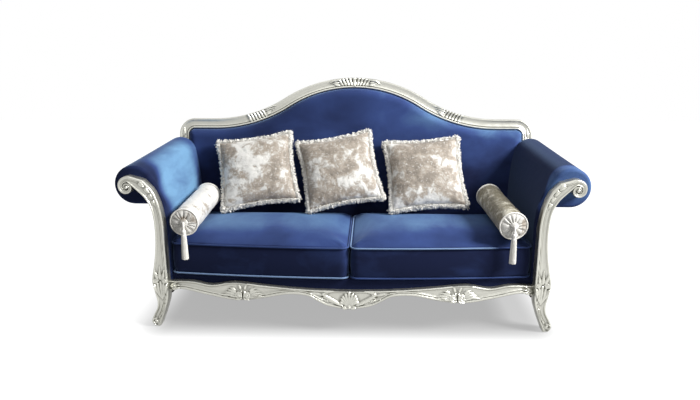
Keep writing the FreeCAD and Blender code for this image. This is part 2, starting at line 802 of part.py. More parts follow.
first_spring = -(spring_count - 1) / 2 * spring_space
spring_spots = [first_spring + index * spring_space for index in range(spring_count)]
node("seat_springs", feature("spring_set", Part.makeCompound([spring_wire(x) for x in spring_spots])))
clips = []
for index, x in enumerate(spring_spots):
    for end, y in (("front", run_front), ("back", run_back)):
        clip_x = x - size("clip_width") / 2
        clip_y = y - size("clip_depth") / 2
        shell = box(f"clip_{index}_{end}_block", clip_x, clip_y, rail_top,
                    "Sheet.clip_width", "Sheet.clip_depth", "Sheet.clip_height")
        bore = cylinder(f"clip_{index}_{end}_bore", f"Sheet.spring_wire + {FIT}", "Sheet.clip_width + 2",
                        Placement(Vector(x - size("clip_width") / 2 - 1, y, spring_z),
                                  Rotation(Vector(0, 0, 1), Vector(1, 0, 0))))
        clips.append(cut(f"clip_{index}_{end}", shell, [bore]))
node("spring_clips", group("clip_set", clips))
node("spring_burlap", box("burlap", -recess_half + 2, recess_front + 2, rail_top + size("clip_height") + fit,
                          str(2 * recess_half - 4), str(recess_back - recess_front - 4),
                          "Sheet.burlap_thickness"))

# Dust cover between the rails, under the front rail, the blocks and the stretcher
cover_front = front_rail_back - size("rail_thickness") / 2
cover_low = front_rail_low - size("cover_thickness")
node("dust_cover", box("under_cover", -post_inner + fit, cover_front, cover_low,
                       f"2 * {POST_INNER} - 2 * {FIT}", str(back_y - fit - cover_front),
                       "Sheet.cover_thickness"))

# Seat cushions with piping
cushion_back = pad_front_y(cushion_bottom) - 2 * size("piping_radius") - 2
cushion_inner = size("cushion_gap") / 2 + 2 * size("piping_radius")
cushion_outer = arm_inner - 1 - 2 * size("piping_radius")


def cushion_outline(side, grow):
    near = cushion_inner - grow
    far = cushion_outer + grow
    back = cushion_back + grow
    radius = cushion_radius + grow
    corner = max(size("cushion_corner") + grow, 4.0)
    slant = math.sqrt(0.5)

    def front_corner(x, inward):
        centre_x = x + inward * corner
        centre_y = bow_centre_y - math.sqrt((radius - corner) ** 2 - centre_x ** 2)
        scale = radius / (radius - corner)
        on_arc = (centre_x * scale, bow_centre_y + (centre_y - bow_centre_y) * scale)
        middle = (centre_x - inward * corner * slant, centre_y - corner * slant)
        return (x, centre_y), middle, on_arc

    near_line, near_middle, near_arc = front_corner(near, 1)
    far_line, far_middle, far_arc = front_corner(far, -1)
    centre = (near_arc[0] + far_arc[0]) / 2

    def at(point):
        return (side * point[0], point[1])

    outline = Outline(at(near_line))
    outline.arc(at(near_middle), at(near_arc))
    outline.arc(at((centre, bow_y(radius, centre))), at(far_arc))
    outline.arc(at(far_middle), at(far_line))
    outline.line(at((far, back - corner)))
    outline.arc(at((far - corner + corner * slant, back - corner + corner * slant)), at((far - corner, back)))
    outline.line(at((near + corner, back)))
    outline.arc(at((near + corner - corner * slant, back - corner + corner * slant)),
                at((near, back - corner)))
    return outline.close()


def piping_loop(side, z):
    path = Part.Wire([edge.toShape() for edge in cushion_outline(side, size("piping_radius") + 0.1).edges])
    start = path.Edges[0].valueAt(path.Edges[0].FirstParameter)
    along = path.Edges[0].tangentAt(path.Edges[0].FirstParameter)
    ring = Part.Wire([Part.Circle(start, along, size("piping_radius")).toShape()])
    loop = path.makePipeShell([ring], True, False)
    loop.translate(Vector(0, 0, z))
    return loop


for name, side in sides():
    sections = [(0.0, cushion_outline(side, 0.0)), (size("cushion_height"), cushion_outline(side, 0.0)),
                (size("cushion_height") + size("cushion_crown"), cushion_outline(side, -size("crown_inset")))]
    cushion_place = Placement(Vector(0, 0, cushion_bottom), Rotation())
    node(f"{name}_seat_cushion", loft_body(f"{name}_cushion", "XY_Plane", sections, cushion_place))
    loops = [piping_loop(side, cushion_bottom + size("piping_radius")), piping_loop(side, cushion_edge)]
    node(f"{name}_cushion_piping", feature(f"{name}_piping", Part.makeCompound(loops)))


# Bolsters along the arms with end panels, welts, buttons and front tassels
ridge_x = cushion_outer - size("crown_inset")
bolster_radius = size("bolster_radius")
bolster_inner = {}
bolster_level = {}
for name, side in sides():
    yaw = math.radians(size(f"{name}_bolster_yaw"))
    tilt = math.radians(size(f"{name}_bolster_tilt"))
    start_x = arm_inner - size(f"{name}_bolster_gap") - bolster_radius
    start_y = bow_y(cushion_radius, start_x) - 2 * size("piping_radius") - size("bolster_overhang")
    ridge_run = bow_y(cushion_radius - size("crown_inset"), ridge_x) - start_y
    aside = max(start_x - ridge_run * math.tan(yaw) - ridge_x, 0.0)
    ridge_lift = math.sqrt(max(bolster_radius ** 2 - aside ** 2, 1.0)) / math.cos(tilt)
    start_z = cushion_top + ridge_lift + fit - ridge_run * math.tan(tilt)
    along = Vector(-side * math.sin(yaw) * math.cos(tilt), math.cos(yaw) * math.cos(tilt), math.sin(tilt))
    axis = Placement(Vector(side * start_x, start_y, start_z), Rotation(Vector(0, 0, 1), along))
    length = size("bolster_length")
    panel = size("end_panel_thickness")
    rear = axis.multVec(Vector(0, 0, length))
    bolster_inner[name] = abs(rear.x) - bolster_radius
    bolster_level[name] = rear.z

    def on_axis(distance, flip=False):
        turn = Rotation(Vector(1, 0, 0), 180) if flip else Rotation()
        return axis.multiply(Placement(Vector(0, 0, distance), turn))

    node(f"{name}_bolster", cylinder(f"{name}_roll", "Sheet.bolster_radius", "Sheet.bolster_length", axis))
    ends = [cone(f"{name}_end_front", "Sheet.end_panel_radius", "Sheet.end_panel_radius * 0.8",
                 "Sheet.end_panel_thickness", on_axis(0, True)),
            cone(f"{name}_end_back", "Sheet.end_panel_radius", "Sheet.end_panel_radius * 0.8",
                 "Sheet.end_panel_thickness", on_axis(length))]
    node(f"{name}_bolster_ends", group(f"{name}_end_set", ends))
    welts = []
    for end, distance in (("front", -size("welt_radius")), ("back", length + size("welt_radius"))):
        ring = doc.addObject("Part::Torus", f"{name}_welt_{end}")
        ring.setExpression("Radius1", f"Sheet.end_panel_radius + Sheet.welt_radius + {FIT}")
        ring.setExpression("Radius2", "Sheet.welt_radius")
        ring.Placement = on_axis(distance)
        welts.append(ring)
    node(f"{name}_bolster_welts", group(f"{name}_welt_set", welts))
    buttons = [cone(f"{name}_button_front", "Sheet.button_radius", "Sheet.button_radius * 0.6",
                    "Sheet.button_height", on_axis(-panel, True)),
               cone(f"{name}_button_back", "Sheet.button_radius", "Sheet.button_radius * 0.6",
                    "Sheet.button_height", on_axis(length + panel))]
    node(f"{name}_bolster_buttons", group(f"{name}_button_set", buttons))
    neck = size("tassel_neck")
    hang = axis.multVec(Vector(0, 0, -panel - size("button_height") - neck - 2 * fit))
    long = size("tassel_length")
    skirt = size("tassel_skirt")
    tassel_profile = Outline((0, neck))
    tassel_profile.arc((neck * math.sqrt(0.5), neck * math.sqrt(0.5)), (neck, 0))
    tassel_profile.line((neck, -0.24 * long))
    tassel_profile.line((neck * 1.5, -0.25 * long))
    tassel_profile.line((neck * 1.5, -0.31 * long))
    tassel_profile.line((0.7 * skirt, -0.34 * long))
    tassel_profile.line((skirt, -long))
    tassel_profile.line((0, -long))
    tassel_profile.close()
    node(f"{name}_tassel", turned_body(f"{name}_hanger", tassel_profile, Placement(hang, Rotation())))

# Throw pillows: soft squares that lean on the back, each with a fringe round the seam
PILLOW_SHAPE = ((-0.37, 0.43), (-0.28, 0.75), (0.0, 1.0), (0.4, 0.78), (0.55, 0.48))
ROW_SHARE = 6.2
lean = math.radians(size("pillow_lean"))
gap = size("pillow_gap")
room = bolster_inner["left"] + bolster_inner["right"] - 2 * gap
seam = min(value(SEAM_REACH), room / ROW_SHARE)
half = seam - size("fringe_width")


def square(reach):
    return polygon([(-reach, -reach), (reach, -reach), (reach, reach), (-reach, reach)])


def seam_corners(turn):
    spots = []
    for x, z in ((-seam, -seam), (seam, -seam), (seam, seam), (-seam, seam)):
        spots.append((x * math.cos(turn) - z * math.sin(turn), x * math.sin(turn) + z * math.cos(turn)))
    return spots


def edge_at(turn, height, side):
    """Farthest seam point on one side at a height in the pillow's plane, or None above and below it."""
    spots = seam_corners(turn)
    found = []
    for (x0, z0), (x1, z1) in zip(spots, spots[1:] + spots[:1]):
        if min(z0, z1) <= height <= max(z0, z1) and abs(z1 - z0) > 1e-6:
            found.append(side * (x0 + (height - z0) / (z1 - z0) * (x1 - x0)))
    return max(found) if found else None


def spacing(turn_a, turn_b, rise):
    heights = [z for x, z in seam_corners(turn_a)] + [z + rise for x, z in seam_corners(turn_b)]
    needs = []
    for height in heights:
        right = edge_at(turn_a, height, 1)
        left = edge_at(turn_b, height - rise, -1)
        if right is not None and left is not None:
            needs.append(right + left)
    return max(needs) + gap


PILLOW_ROW = ("left", "middle", "right")
turns = {name: math.radians(size(f"{name}_pillow_turn")) for name in PILLOW_ROW}
drops = {name: seam * (math.cos(turn) + math.sin(turn)) for name, turn in turns.items()}
low_edge = size("fringe_thickness") / 2 * math.sin(lean)
centre_z = {name: cushion_top + fit + low_edge + drop * math.cos(lean) for name, drop in drops.items()}
bolster_height = (bolster_level["left"] - centre_z["left"]) / math.cos(lean)
left_reach = edge_at(turns["left"], max(bolster_height, -drops["left"]), -1)
centre_x = {"left": -bolster_inner["left"] + gap + left_reach}
for name, next_name in zip(PILLOW_ROW, PILLOW_ROW[1:]):
    rise = drops[next_name] - drops[name]
    centre_x[next_name] = centre_x[name] + spacing(turns[name], turns[next_name], rise)
for name in PILLOW_ROW:
    tilt = Rotation(Vector(1, 0, 0), -size("pillow_lean"))
    turned = tilt.multiply(Rotation(Vector(0, 1, 0), -size(f"{name}_pillow_turn")))
    edge = size("fringe_thickness") / 2
    spots = [Vector(x * seam, edge, z * seam) for x in (-1, 1) for z in (-1, 1)]
    for share, part in PILLOW_SHAPE:
        depth = -share * size("pillow_thickness")
        spots += [Vector(x * half * part, depth, z * half * part) for x in (-1, 1) for z in (-1, 1)]
    offsets = [turned.multVec(spot) for spot in spots]
    rearmost = max(spot.y * math.cos(rake) - spot.z * math.sin(rake) for spot in offsets)
    rise = (centre_z[name] - rail_top) * math.sin(rake)
    centre_y = back_y + (pad_front_v - gap - rearmost + rise) / math.cos(rake)
    place = Placement(Vector(centre_x[name], centre_y, centre_z[name]), turned)
    sections = [(share * size("pillow_thickness"), square(half * part)) for share, part in PILLOW_SHAPE]
    node(f"{name}_pillow", loft_body(f"{name}_cover", "XZ_Plane", sections, place))
    fringe = pad_body(f"{name}_trim", "XZ_Plane", [square(seam), square(half + 0.1)],
                      "Sheet.fringe_thickness", place, False, True)
    node(f"{name}_pillow_fringe", fringe)

# Rebuild, check every object and write the sub-parts
doc.recompute()
faults = [part.Name for part in doc.Objects if "Invalid" in part.State or "Error" in part.State]
for label, part in NODES.items():
    shape = part.Shape
    if shape.isNull() or not shape.isValid() or shape.Volume <= 0:
        faults.append(label)
if faults:
    raise RuntimeError("parts that did not build: " + ", ".join(faults))
for label, part in NODES.items():
    part.Shape.exportStep(f"parts/{label}.step")
    bounds = part.Shape.BoundBox
    print(f"{label:24s} {part.Shape.Volume / 1000:10.1f} cm3  X {bounds.XMin:8.1f} {bounds.XMax:8.1f}"
          f"  Y {bounds.YMin:8.1f} {bounds.YMax:8.1f}  Z {bounds.ZMin:8.1f} {bounds.ZMax:8.1f}"
          f"  solids {len(part.Shape.Solids)}")
whole = Part.makeCompound([part.Shape for part in NODES.values()]).BoundBox
print(f"whole X {whole.XMin:.1f} {whole.XMax:.1f} Y {whole.YMin:.1f} {whole.YMax:.1f}"
      f" Z {whole.ZMin:.1f} {whole.ZMax:.1f}")
print(f"{len(NODES)} nodes")
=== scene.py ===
import json
import math

import bpy
import numpy as np
from bpy.props import FloatProperty, FloatVectorProperty, IntProperty, PointerProperty
from bpy.types import Operator, Panel, PropertyGroup
from mathutils import Matrix, Vector


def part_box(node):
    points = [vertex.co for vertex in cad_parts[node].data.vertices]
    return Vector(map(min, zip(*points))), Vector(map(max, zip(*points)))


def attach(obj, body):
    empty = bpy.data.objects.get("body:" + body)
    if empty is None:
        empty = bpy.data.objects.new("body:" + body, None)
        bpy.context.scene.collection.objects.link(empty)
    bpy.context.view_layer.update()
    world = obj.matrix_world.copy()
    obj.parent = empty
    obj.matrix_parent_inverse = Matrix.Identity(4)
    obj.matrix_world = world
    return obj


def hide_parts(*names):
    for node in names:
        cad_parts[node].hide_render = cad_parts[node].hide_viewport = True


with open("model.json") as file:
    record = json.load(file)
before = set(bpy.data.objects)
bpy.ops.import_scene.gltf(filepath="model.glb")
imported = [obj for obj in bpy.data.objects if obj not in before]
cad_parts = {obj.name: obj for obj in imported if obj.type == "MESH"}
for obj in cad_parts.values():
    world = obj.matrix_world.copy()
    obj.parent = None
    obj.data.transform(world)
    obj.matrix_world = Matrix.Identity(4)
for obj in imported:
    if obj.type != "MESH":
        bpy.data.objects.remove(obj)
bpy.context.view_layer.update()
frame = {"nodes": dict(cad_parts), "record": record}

bl_info = {
    "name": "Throne sofa",
    "version": (1, 0, 0),
    "blender": (4, 5, 0),
    "location": "3D View > Sidebar > Sofa",
    "description": "Carved silver sofa in blue velvet with throw pillows and tasselled bolsters",
    "category": "Object",
}

SIDES = (("left", -1), ("right", 1))
MERGE = 1e-5


def low(node):
    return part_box(node)[0]


def high(node):
    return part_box(node)[1]


def centre_of(node):
    return (low(node) + high(node)) / 2


# Stations taken from the frame
RAIL_TOP = high("front_seat_rail").z
RAIL_BOTTOM = low("front_seat_rail").z
POST_FRONT = low("right_front_post").y
POST_BACK = high("right_front_post").y
POST_INNER = low("right_front_post").x
FRONT_Y = low("front_apron").y
ARM_INNER = low("right_arm_pad").x
ARM_OUTER = low("right_outside_arm").x
DECK_TOP = high("seat_deck").z
DECK_HALF = high("seat_deck").x
BACK_Y = low("back_seat_rail").y
BACK_LOW = low("back_seat_rail").z
CREST_TOP = high("crest_rail").z
EAR_X = high("crest_rail").x
CUSHION_LOW = low("right_seat_cushion").z


def length(name, default, description):
    return FloatProperty(name=name, description=description, default=default, unit="LENGTH", precision=4)


def angle(name, default, description):
    return FloatProperty(name=name, description=description, default=math.radians(default), subtype="ANGLE")


def colour(name, default, description):
    return FloatVectorProperty(name=name, description=description, default=default, subtype="COLOR",
                               size=3, min=0.0, max=1.0)


class SofaSizes(PropertyGroup):
    """Sizes that shape the sofa's finished pieces."""

    back_rake: angle("Back rake", 11.0, "Lean of the back from upright")
    crest_width: length("Crest width", 0.058, "Width of the crest rail's face")
    crest_proud: length("Crest proud", 0.015, "How far the crest stands in front of the back frame")
    crest_rise: length("Crest rise", 0.224, "Height of the camel arch above the shoulders")
    crest_reach: length("Crest reach", 0.770, "Where the arch meets the shoulder, from the middle")
    ear_radius: length("Ear radius", 0.088, "Bend from the shoulder down to the ear")
    ear_drop: length("Ear drop", 0.128, "Depth of the ear below the shoulder")
    frame_depth: length("Back frame depth", 0.045, "Thickness of the back frame")
    front_bow: length("Front bow", 0.052, "How far the front bows out at the middle")
    apron_thickness: length("Apron thickness", 0.026, "Thickness of the carved apron")
    roll_radius: length("Arm roll radius", 0.080, "Radius of the rolled arm")
    roll_height: length("Arm roll height", 0.674, "Height of the roll's centre at the front")
    roll_rise: length("Arm roll rise", 0.050, "Rise of the roll towards the back")
    rear_sweep: length("Rear sweep", 0.032, "How far the roll overhangs the arm at the back")
    arm_bend: length("Arm bend height", 0.500, "Where the inner face starts to lean out")
    pad_front: length("Back pad face", 0.066, "Distance of the back pad's face from the back frame")
    cushion_height: length("Cushion height", 0.146, "Height of the cushion's boxing")
    cushion_crown: length("Cushion crown", 0.046, "Rise of the cushion's top above its seam")
    cushion_reveal: length("Cushion reveal", 0.016, "Setback of the cushion from the apron's face")
    cushion_corner: length("Cushion corner", 0.030, "Corner radius of the cushion in plan")
    piping: length("Piping radius", 0.004, "Radius of the covered piping cord")
    pillow_half: length("Pillow half size", 0.195, "Half the side of a throw pillow")
    pillow_front: length("Pillow front", 0.074, "Depth of a pillow's front above its seam")
    pillow_rear: length("Pillow rear", 0.050, "Depth of a pillow's rear behind its seam")
    pillow_lean: angle("Pillow lean", 34.0, "Lean of the throw pillows from upright")
    fringe: length("Fringe length", 0.027, "Length of the fringe loops")
    bolster_radius: length("Bolster radius", 0.066, "Radius of a bolster")
    bolster_length: length("Bolster length", 0.460, "Length of a bolster without its ends")
    end_radius: length("End panel radius", 0.058, "Radius of a bolster's gathered end")
    pleats: IntProperty(name="End pleats", description="Pleats in a bolster's end", default=13, min=6)
    tassel_length: length("Tassel length", 0.172, "Length of a tassel")


class SofaColours(PropertyGroup):
    """Colours of the sofa's finishes."""

    silver: colour("Silver", (0.53, 0.527, 0.475), "Raised silver paint")
    patina: colour("Patina", (0.12, 0.115, 0.09), "Silver paint in the hollows")
    # The velvet goes from its deep tone in painted shade, through the half tone, to the light tone in painted
    # light
    velvet: colour("Velvet", (0.0095, 0.0140, 0.047), "Deep tone of the blue velvet")
    velvet_mid: colour("Half-brushed velvet", (0.037, 0.066, 0.205), "Velvet between the two")
    velvet_painted_light: colour("Brushed velvet", (0.180, 0.355, 0.560), "Velvet where its pile lies over")
    piping: colour("Piping", (0.20, 0.30, 0.50), "Light blue piping")
    crushed_pale: colour("Crushed pale", (0.70, 0.685, 0.645), "Pale tone of the crushed velvet")
    crushed_dark: colour("Crushed dark", (0.33, 0.285, 0.235), "Taupe tone of the crushed velvet")
    fringe: colour("Fringe", (0.86, 0.84, 0.79), "Off-white fringe and tassels")
    # The right bolster's tones: a taupe hue, made darker than the left bolster's as painted shade
    taupe_pale: colour("Taupe pale", (0.60, 0.57, 0.46), "Pale tone of the right bolster")
    taupe: colour("Taupe", (0.19, 0.165, 0.105), "Dark tone of the right bolster")


def sofa_sizes():
    return bpy.context.scene.sofa_sizes


def sofa_colours():
    return bpy.context.scene.sofa_colours


# Lines and sections
def held(values):
    """Values held between 0 and 1."""
    return np.clip(values, 0, 1)


def grown(values, start, span):
    """How far values have come from a start over a span, from 0 to 1."""
    return held((values - start) / span)


class Route:
    """A planar line given by close points, with points and right-hand normals at distances along it."""

    def __init__(self, points):
        points = np.asarray(points, float)
        keep = np.concatenate(([True], np.linalg.norm(np.diff(points, axis=0), axis=1) > MERGE))
        self.points = points[keep]
        steps = np.linalg.norm(np.diff(self.points, axis=0), axis=1)
        self.run = np.concatenate(([0.0], np.cumsum(steps)))
        self.length = self.run[-1]
        slope = np.gradient(self.points, self.run, axis=0)
        slope /= np.linalg.norm(slope, axis=1)[:, None]
        self.normals = np.stack([slope[:, 1], -slope[:, 0]], axis=1)

    def at(self, distance, across=0.0):
        """Points at the distances, moved to the right of the line by across."""
        found = [np.interp(distance, self.run, self.points[:, k]) for k in (0, 1)]
        turned = [np.interp(distance, self.run, self.normals[:, k]) for k in (0, 1)]
        return np.stack(found, axis=-1) + np.stack(turned, axis=-1) * across

    def distance_at_x(self, x):
        return float(np.interp(x, self.points[:, 0], self.run))


def arc(centre, radius, start, end, steps=40):
    turn = np.radians(np.linspace(start, end, steps))
    return np.stack([centre[0] + radius * np.cos(turn), centre[1] + radius * np.sin(turn)], axis=1)


def smooth_line(knots, steps=12):
    """Close points on a smooth line through the knots."""
    knots = np.asarray(knots, float)
    ends = np.concatenate(([2 * knots[0] - knots[1]], knots, [2 * knots[-1] - knots[-2]]))
    share = np.linspace(0, 1, steps, endpoint=False)[:, None]
    spans = []
    for a, b, c, d in zip(ends, ends[1:], ends[2:], ends[3:]):
        spans.append(0.5 * (2 * b + (c - a) * share + (2 * a - 5 * b + 4 * c - d) * share ** 2
                            + (3 * b - a - 3 * c + d) * share ** 3))
    return np.concatenate(spans + [knots[-1:]])


def on_back(x, v, w):
    """Points of the raked back: x across, v through its thickness, w up it from the seat rail."""
    rake = sofa_sizes().back_rake
    x, v, w = np.broadcast_arrays(x, v, w)
    return np.stack([x, BACK_Y + v * math.cos(rake) + w * math.sin(rake),
                     RAIL_TOP - v * math.sin(rake) + w * math.cos(rake)], axis=-1)


def crest_peak():
    sizes = sofa_sizes()
    drop = sizes.crest_proud * math.sin(sizes.back_rake)
    return (CREST_TOP - RAIL_TOP - drop) / math.cos(sizes.back_rake)


def ear_foot():
    """Height of the foot of the ears up the back."""
    sizes = sofa_sizes()
    return crest_peak() - sizes.crest_rise - sizes.ear_drop


def crest_line(offset=0.0):
    """Right half of the crest's edge from the peak to the foot of the ear, offset inward."""
    sizes = sofa_sizes()
    peak = crest_peak()
    flat = peak - sizes.crest_rise
    camel = (sizes.crest_reach ** 2 + sizes.crest_rise ** 2) / (4 * sizes.crest_rise)
    lean = math.degrees(math.atan2(flat - peak + 2 * camel, sizes.crest_reach))
    ear = sizes.ear_radius
    return np.concatenate([
        arc((0, peak - camel), camel - offset, 90, lean, 80),
        arc((sizes.crest_reach, flat + camel), camel + offset, lean + 180, 270, 60),
        arc((EAR_X - ear, flat - ear), ear - offset, 90, 0, 24),
        [(EAR_X - offset, flat - sizes.ear_drop)],
    ])


def crest_route(offset=0.0):
    half = crest_line(offset)
    return Route(np.concatenate([half[::-1] * (-1, 1), half[1:]]))


def bow_centre():
    bow = sofa_sizes().front_bow
    radius = (POST_INNER ** 2 + bow ** 2) / (2 * bow)
    return radius, FRONT_Y + radius


def bow_y(x, setback=0.0):
    """Front line of the seat in plan, set back from the apron's face."""
    radius, centre = bow_centre()
    return centre - np.sqrt((radius - setback) ** 2 - np.square(x))


# Making and finishing meshes
def deselect():
    bpy.ops.object.select_all(action="DESELECT")


def activate(piece):
    deselect()
    piece.select_set(True)
    bpy.context.view_layer.objects.active = piece


def rows_of(entries, key):
    flat = np.empty(len(entries) * 3, np.float32)
    entries.foreach_get(key, flat)
    return flat.reshape(-1, 3).astype(float)


def normals_of(piece):
    return rows_of(piece.data.vertex_normals, "vector")


def points_of(piece):
    return rows_of(piece.data.vertices, "co")


def set_points(piece, points):
    piece.data.vertices.foreach_set("co", np.asarray(points, np.float32).ravel())
    piece.data.update()


def store(piece, name, values):
    layer = piece.data.attributes.new(name, "FLOAT", "POINT")
    layer.data.foreach_set("value", np.asarray(values, np.float32).ravel())


def grid_piece(name, points, **layers):
    """A grid primitive laid on rows and columns of points, with values kept as attributes."""
    rows, columns = points.shape[:2]
    deselect()
    bpy.ops.mesh.primitive_grid_add(x_subdivisions=rows - 1, y_subdivisions=columns - 1, size=2.0)
    piece = bpy.context.active_object
    piece.name = name
    piece.data.name = name
    flat = (points_of(piece) + 1) / 2
    row = np.rint(flat[:, 0] * (rows - 1)).astype(int)
    column = np.rint(flat[:, 1] * (columns - 1)).astype(int)
    set_points(piece, points[row, column])
    for layer, values in layers.items():
        store(piece, layer, values[row, column])
    return piece


def close_piece(piece, fill=True):
    """Joins the seam, fills the ends and turns the faces outward."""
    activate(piece)
    bpy.ops.object.mode_set(mode="EDIT")
    bpy.ops.mesh.select_all(action="SELECT")
    bpy.ops.mesh.remove_doubles(threshold=MERGE)
    bpy.ops.mesh.select_all(action="SELECT")
    if fill:
        bpy.ops.mesh.fill_holes(sides=0)
    bpy.ops.mesh.normals_make_consistent(inside=False)
    bpy.ops.object.mode_set(mode="OBJECT")
    return piece


def tube(name, rings, ring_closed=False, **layers):
    """Rings of points lofted into a closed tube, or into a hoop when the rings meet."""
    rings = np.concatenate([rings, rings[:, :1]], axis=1)
    layers = {key: np.concatenate([value, value[:, :1]], axis=1) for key, value in layers.items()}
    if ring_closed:
        rings = np.concatenate([rings, rings[:1]], axis=0)
    return close_piece(grid_piece(name, rings, **layers), not ring_closed)


def modify(piece, kind, **settings):
    """Adds a modifier with these settings and applies it."""
    activate(piece)
    modifier = piece.modifiers.new(kind.title(), kind)
    for key, value in settings.items():
        setattr(modifier, key, value)
    bpy.ops.object.modifier_apply(modifier=modifier.name)
    return piece


def smooth(piece, limit=40):
    activate(piece)
    bpy.ops.object.shade_smooth_by_angle(angle=math.radians(limit))
    return piece


def join(pieces, name):
    activate(pieces[0])
    for piece in pieces[1:]:
        piece.select_set(True)
    bpy.ops.object.join()
    joined = bpy.context.active_object
    joined.name = name
    joined.data.name = name
    return joined


def dress(piece, finish, body, node):
    """Gives a finished piece its material and its body, and hides the solid that it stands for."""
    piece.data.materials.clear()
    piece.data.materials.append(finish_of(finish))
    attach(piece, body)
    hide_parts(node)


def hoop(name, path, radius, sides=10, ring_closed=True):
    """A round cord along a path of 3-D points."""
    path = np.asarray(path, float)
    if ring_closed:
        ahead = np.roll(path, -1, axis=0) - np.roll(path, 1, axis=0)
    else:
        ahead = np.gradient(path, axis=0)
    ahead /= np.linalg.norm(ahead, axis=1)[:, None]
    up = np.array([0.0, 0.0, 1.0]) if abs(ahead[:, 2]).max() < 0.9 else np.array([0.0, 1.0, 0.0])
    aside = np.cross(ahead, up)
    aside /= np.linalg.norm(aside, axis=1)[:, None]
    above = np.cross(aside, ahead)
    turn = np.linspace(0, 2 * math.pi, sides, endpoint=False)[None, :, None]
    rings = path[:, None, :] + radius * (aside[:, None, :] * np.cos(turn) + above[:, None, :] * np.sin(turn))
    return tube(name, rings, ring_closed)


# Carving
# Points across a carved face, distance between its rows, and radius of its edges
FACE_STEPS = 30
CARVE_STEP = 0.003
SOFT_EDGE = 0.006


def ridge(points, wide, tall, tip=0.35):
    """A carver's stroke: a rounded ridge along a smooth line, fullest near its start."""
    line = smooth_line(points, 10) if len(points) > 2 else np.linspace(points[0], points[-1], 14)
    share = np.linspace(0, 1, len(line))
    fullness = np.interp(share, (0.0, 0.3, 1.0), (0.75, 1.0, tip))
    return line, wide * fullness, tall * np.sqrt(fullness)


def curl(centre, radius, start, turns, wide, tall):
    """A spiral ridge that winds into a small ball."""
    turn = np.radians(np.linspace(start, start + 360 * turns, 60))
    reach = radius * np.linspace(1.0, 0.12, 60) ** 0.8
    line = np.stack([centre[0] + reach * np.cos(turn), centre[1] + reach * np.sin(turn)], axis=1)
    return line, wide * np.linspace(0.8, 1.25, 60), tall * np.linspace(0.8, 1.2, 60)


def relief(plane, strokes):
    """Height of the carving at points of the face's plane."""
    raised = np.zeros(plane.shape[:2])
    for line, wide, tall in strokes:
        reach = wide.max()
        inside = np.all((plane > line.min(axis=0) - reach) & (plane < line.max(axis=0) + reach), axis=2)
        if not inside.any():
            continue
        gap = np.linalg.norm(plane[inside][:, None, :] - line[None, :, :], axis=2) / wide
        lump = (tall * np.sqrt(held(1 - gap ** 2))).max(axis=1)
        raised[inside] = np.maximum(raised[inside], lump)
    return raised


def bead(x, centre, radius, tall):
    return tall * np.sqrt(held(1 - np.square((x - centre) / radius)))


def rounded_edge(x, width, radius):
    """Depth that rounds both edges of a face."""
    edge = np.minimum(x, width - x)
    inside = held(1 - edge / radius)
    return radius * (1 - np.sqrt(1 - inside ** 2))


def blurred(field, reach=4):
    """A field averaged over its neighbours, along its rows and half as far across them."""
    total = np.zeros_like(field)
    for step in range(-reach, reach + 1):
        total += np.roll(field, step, axis=0)
    total /= 2 * reach + 1
    across = np.zeros_like(field)
    for step in range(-reach // 2, reach // 2 + 1):
        across += np.roll(total, step, axis=1)
    return across / (2 * (reach // 2) + 1)


# Plain back of a moulding: share of the way from its near to its far edge, share of its thickness
BACK_RING = ((1.0, 0.4), (1.0, 0.85), (0.95, 1.0), (0.5, 1.0), (0.05, 1.0), (0.0, 0.85), (0.0, 0.4))


def carved_strip(name, near, far, place, face, thickness, strokes):
    """A closed moulding between two edge lines in a plane: carved face, square sides and a plain back."""
    share = np.linspace(0, 1, FACE_STEPS)[None, :, None]
    plane = near[:, None, :] * (1 - share) + far[:, None, :] * share
    width = np.linalg.norm(far - near, axis=1)[:, None]
    x = width * share[:, :, 0]
    carving = face(x, width) + relief(plane, strokes)
    depth = rounded_edge(x, width, np.minimum(SOFT_EDGE, 0.25 * width)) - carving
    hollow = blurred(carving) - carving
    back = np.array(BACK_RING)
    rear = near[:, None, :] * (1 - back[None, :, :1]) + far[:, None, :] * back[None, :, :1]
    plane = np.concatenate([plane, rear], axis=1)
    depth = np.concatenate([depth, np.broadcast_to(thickness * back[:, 1], rear.shape[:2])], axis=1)
    hollow = np.concatenate([hollow, np.zeros(rear.shape[:2])], axis=1)
    piece = tube(name, place(plane[..., 0], plane[..., 1], depth), hollow=hollow)
    return smooth(piece, 50)


# Materials
def shade(tone, factor):
    """A colour made lighter or darker."""
    return tuple(min(1.0, part * factor) for part in tone)


class Tree:
    """A node tree with short ways to add and link nodes."""

    def __init__(self, owner):
        owner.use_nodes = True
        self.tree = owner.node_tree
        self.nodes = self.tree.nodes

    def add(self, kind, **settings):
        node = self.nodes.new(kind)
        for key, setting in settings.items():
            setattr(node, key, setting)
        return node

    def link(self, source, target):
        self.tree.links.new(source, target)

    def spread(self, factor, from_low, from_high, to_low, to_high, **settings):
        node = self.add("ShaderNodeMapRange", **settings)
        for socket, setting in zip(("From Min", "From Max", "To Min", "To Max"),
                                   (from_low, from_high, to_low, to_high)):
            node.inputs[socket].default_value = setting
        self.link(factor, node.inputs["Value"])
        return node.outputs["Result"]

    def work_out(self, operation, first, second, clamp=False):
        node = self.add("ShaderNodeMath", operation=operation, use_clamp=clamp)
        self.link(first, node.inputs[0])
        self.link(second, node.inputs[1])
        return node.outputs["Value"]


